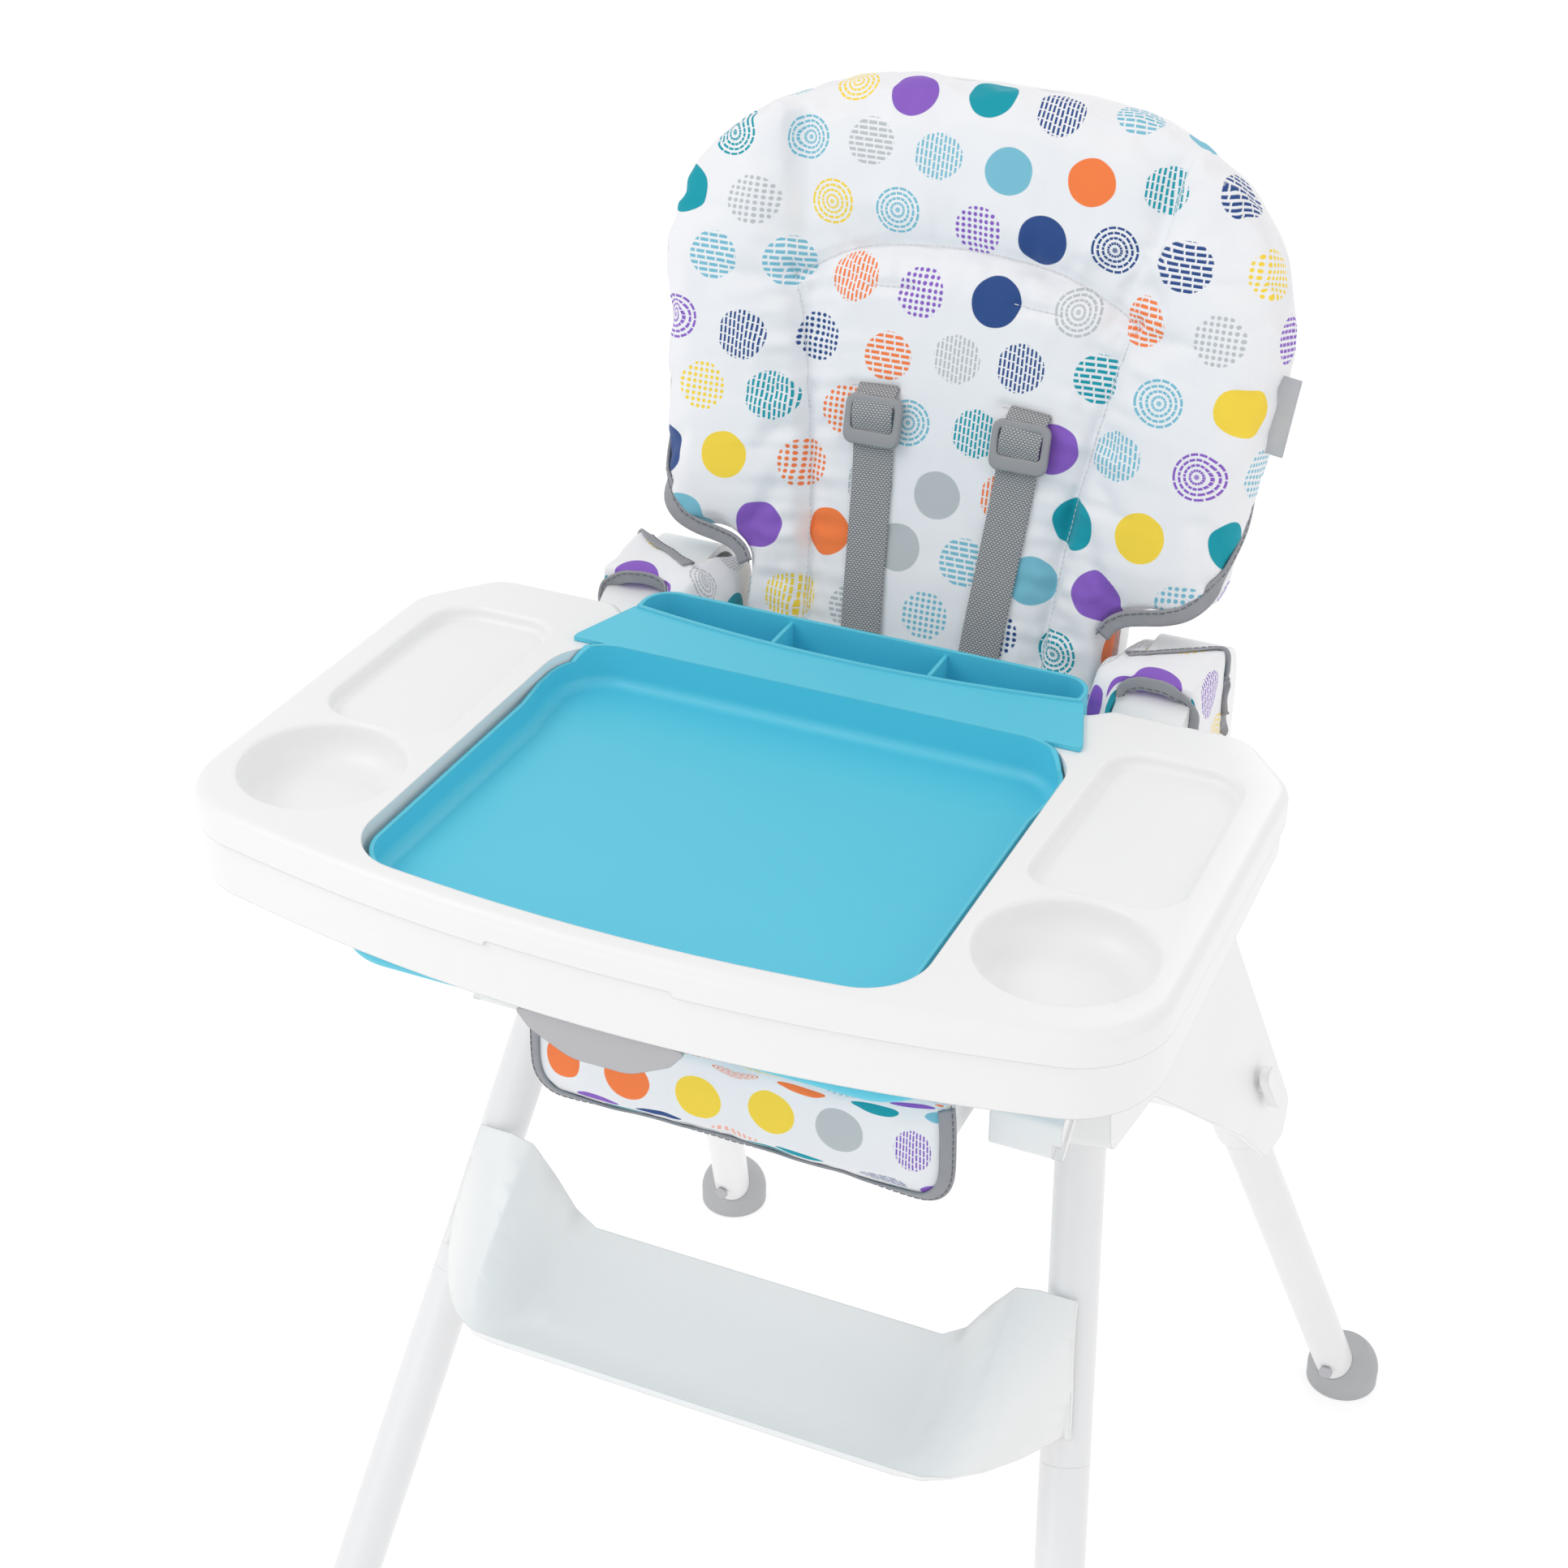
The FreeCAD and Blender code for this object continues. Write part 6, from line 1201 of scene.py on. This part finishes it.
# %% A tree that sews along a line
def sewing_tree():
    tree = bpy.data.node_groups.new("sew_along", "GeometryNodeTree")
    face = tree.interface
    face.new_socket("Geometry", in_out="INPUT", socket_type="NodeSocketGeometry")
    for label, value in (("Pitch", 0.0042), ("Length", 0.0029), ("Thread", 0.00042)):
        face.new_socket(label, in_out="INPUT", socket_type="NodeSocketFloat").default_value = value
    face.new_socket("Material", in_out="INPUT", socket_type="NodeSocketMaterial")
    face.new_socket("Geometry", in_out="OUTPUT", socket_type="NodeSocketGeometry")
    start = add(tree, "NodeGroupInput").outputs
    curve = first_of(tree, "GeometryNodeMeshToCurve", {0: start["Geometry"]})
    spots = first_of(tree, "GeometryNodeResampleCurve", {"Curve": curve, "Length": start["Pitch"]},
                     mode="LENGTH")
    round_thread = {"Vertices": 6, "Radius": start["Thread"], "Depth": start["Length"]}
    thread = first_of(tree, "GeometryNodeMeshCylinder", round_thread)
    tangent = first_of(tree, "GeometryNodeInputTangent")
    turn = first_of(tree, "FunctionNodeAlignRotationToVector", {"Vector": tangent}, axis="Z")
    laid = first_of(tree, "GeometryNodeInstanceOnPoints",
                    {"Points": spots, "Instance": thread, "Rotation": turn})
    real = first_of(tree, "GeometryNodeRealizeInstances", {0: laid})
    dyed = first_of(tree, "GeometryNodeSetMaterial", {0: real, "Material": start["Material"]})
    add(tree, "NodeGroupOutput", {0: dyed})
    return tree


SEW = sewing_tree()
print("the sewing tree has", len(SEW.nodes), "nodes")


# %% Sew the seams of the back
def line_mesh(name, lines):
    points, edges = [], []
    for line in lines:
        first = len(points)
        points += [tuple(p) for p in line]
        edges += [(first + i, first + i + 1) for i in range(len(line) - 1)]
    mesh = bpy.data.meshes.new(name)
    mesh.from_pydata(points, edges, [])
    return mesh


def grown(piece, tree, values):
    """Run a Geometry Nodes tree on the piece and keep the result as plain mesh."""
    maker = piece.modifiers.new("maker", "NODES")
    maker.node_group = tree
    for item in tree.interface.items_tree:
        if item.item_type == "SOCKET" and item.in_out == "INPUT" and item.name in values:
            maker[item.identifier] = values[item.name]
    return baked(piece)


def sewn(name, lines, thread, body, **sizes):
    piece = new_object(name, line_mesh(name, lines))
    grown(piece, SEW, {"Material": CLOTH[thread], **sizes})
    smooth_faces(piece)
    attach(piece, body)
    print(name, len(piece.data.polygons), "faces")


def seam_on_cover(line):
    """A line of (x, t) laid on the cover's front, just proud of the cloth."""
    placed = []
    for x, t in smooth_run(line, 12 * len(line)):
        near = np.argsort(np.hypot(cover_front[:, 0] - x, cover_front[:, 2] - t))[:6]
        placed.append(off_back([x, float(cover_front[near, 1].mean()) - STITCH_PROUD, t]))
    return placed


sewn("binding_stitches", [binding_seam], "grey_thread", "seat_back")
sewn("cover_stitches", [seam_on_cover(line) for line in BACK_SEAMS + SLOT_LINES], "thread", "seat_back",
     Pitch=0.0034, Length=0.0026, Thread=0.0003)

# %% [markdown]
# ## Bindings of the arm covers and the flap, and the lower straps
# The same grey tape edges the arm covers and the seat flap. On an arm it runs over the cap's rear
# edge and down the outer side, and a small arch of it closes the front end. The crotch and waist
# straps are the shoulder webbing again, between their slots and the buckle.

# %% Tape on a cloth's surface
TAPE_THICK = 0.0016
SKIN_SIDE = -0.2


def nearest_front(piece, way):
    """A function that puts a place on the piece's skin where the skin looks along way."""
    points, leans = points_of(piece), normals_of(piece)
    skin = leans @ np.array(way, float) > SKIN_SIDE
    points, leans = points[skin], leans[skin]

    def settle(place, lift):
        apart = np.linalg.norm(points - np.array(place), axis=1)
        close = np.argsort(apart)[:8]
        weight = 1.0 / (apart[close] + 0.001)
        lean = (leans[close] * weight[:, None]).sum(axis=0)
        lean /= np.linalg.norm(lean)
        on = (points[close] * weight[:, None]).sum(axis=0) / weight.sum()
        return on + lean * lift, lean
    return settle


def tape_on(name, piece, way, places, width=BINDING_WIDTH, steps=60):
    """Tape laid on the skin through the places; the line of its stitches is handed back."""
    settle = nearest_front(piece, way)
    path, faces = [], []
    for place in smooth_run(places, steps):
        on, lean = settle(place, TAPE_THICK * 0.45)
        path.append(on)
        faces.append(lean)
    path, faces = calmed(np.array(path), 3), calmed(np.array(faces), 3)
    tape = band(name, path, faces, width, TAPE_THICK, steps * 2)
    finish_piece(tape, CLOTH["binding"], "frame")
    return line_on_tape(path, faces, TAPE_THICK * 0.55, width * 0.28)


# %% The tapes of the arms and of the flap
ARCH_WIDTH = 0.008
ARM_TAPE = [(0.136, 0.043, 0.752), (0.147, 0.050, 0.753), (0.158, 0.057, 0.753), (0.169, 0.064, 0.752),
            (0.179, 0.072, 0.749), (0.185, 0.078, 0.742), (0.187, 0.080, 0.728), (0.187, 0.080, 0.710),
            (0.187, 0.080, 0.694)]
ARM_ARCH = [(0.139, 0.020, 0.738), (0.146, 0.020, 0.745), (0.156, 0.020, 0.747), (0.168, 0.020, 0.746),
            (0.178, 0.020, 0.738), (0.183, 0.020, 0.722)]
FLAP_Y = -0.185
FLAP_SIDE = [(0.050, 0.5235), (0.098, 0.5235), (0.1150, 0.5255), (0.1245, 0.538), (0.1255, 0.560),
             (0.1245, 0.588)]
FLAP_EDGE = mirrored_line(FLAP_SIDE[::-1]) + [(0.0, 0.5235)] + FLAP_SIDE


def arm_tapes(side, way):
    """The binding over an arm's cap, and the small arch on its front end."""
    piece = bpy.data.objects["arm_cover_" + side]
    seams = []
    for kind, look, places, width in (("binding", (0, 0, 1), ARM_TAPE, BINDING_WIDTH),
                                      ("arch", (0, -1, 1), ARM_ARCH, ARCH_WIDTH)):
        here = [(x * way, y, z) for x, y, z in places]
        seams.append(tape_on("arm_" + kind + "_" + side, piece, look, here, width))
    return seams


arm_seams = [seam for side, way in SIDES for seam in arm_tapes(side, way)]
sewn("arm_stitches", arm_seams, "grey_thread", "frame")
flap_places = [(x, FLAP_Y, z) for x, z in FLAP_EDGE]
flap_seam = tape_on("flap_binding", bpy.data.objects["front_flap"], (0, -1, 0), flap_places, steps=110)
sewn("flap_stitches", [flap_seam], "grey_thread", "frame")


# %% Crotch and waist straps
def lower_strap(name, path, wide, replaced):
    """Webbing along the path, its width along wide."""
    run = np.array(path, float)
    faces = [np.cross(t, wide) for t in np.gradient(run, axis=0)]
    strap = band(name, run, faces, STRAP_WIDTH, STRAP_THICK, 16 * len(path))
    return finish_piece(strap, CLOTH["webbing"], "frame", replaced)


CROTCH_PLACES = [(0, -0.0755, 0.5560), (0, -0.0758, 0.5750), (0, -0.0750, 0.5900),
                 (0, -0.0680, 0.6030), (0, -0.0560, 0.6160)]
WAIST_PLACES = [(0.104, 0.026, 0.594), (0.082, 0.018, 0.5985), (0.058, 0.005, 0.606),
                (0.036, -0.013, 0.6155)]
lower_strap("crotch_webbing", CROTCH_PLACES, (1, 0, 0), ("crotch_strap",))
for side, way in SIDES:
    places = [(x * way, y, z) for x, y, z in WAIST_PLACES]
    lower_strap("waist_webbing_" + side, places, (0.25 * way, 0.35, 1), ())
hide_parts("waist_straps")

# %% [markdown]
# ## Side tab
# A folded tab of grey ribbon is sewn into the edge of the cover. It is bare.

# %% The tab
TAB_T = (0.266, 0.310)
TAB_ROOT = -0.004
TAB_REACH = 0.0085
TAB_THICK = 0.0022
TAB_N = -0.040
TAB_SAG = 0.0006
TAB_SIDE_X = 0.2


def side_tab():
    ends = [outline_place(math.atan2(t - POLE[1], TAB_SIDE_X), TAB_N)[0] for t in TAB_T]
    middle, rise = (ends[0] + ends[1]) / 2, ends[1] - ends[0]
    out = np.array([rise[1], -rise[0]]) / float(np.linalg.norm(rise))
    path = []
    for k, far in enumerate(np.linspace(TAB_ROOT, TAB_REACH, 5)):
        x, t = middle + out * far
        path.append(off_back([x, TAB_N - TAB_SAG * k, t]))
    piece = band("side_tab", path, [-N_WAY] * len(path), TAB_T[1] - TAB_T[0], TAB_THICK, 20)
    finish_piece(piece, CLOTH["tab"], "seat_back", ("side_tag",))


side_tab()
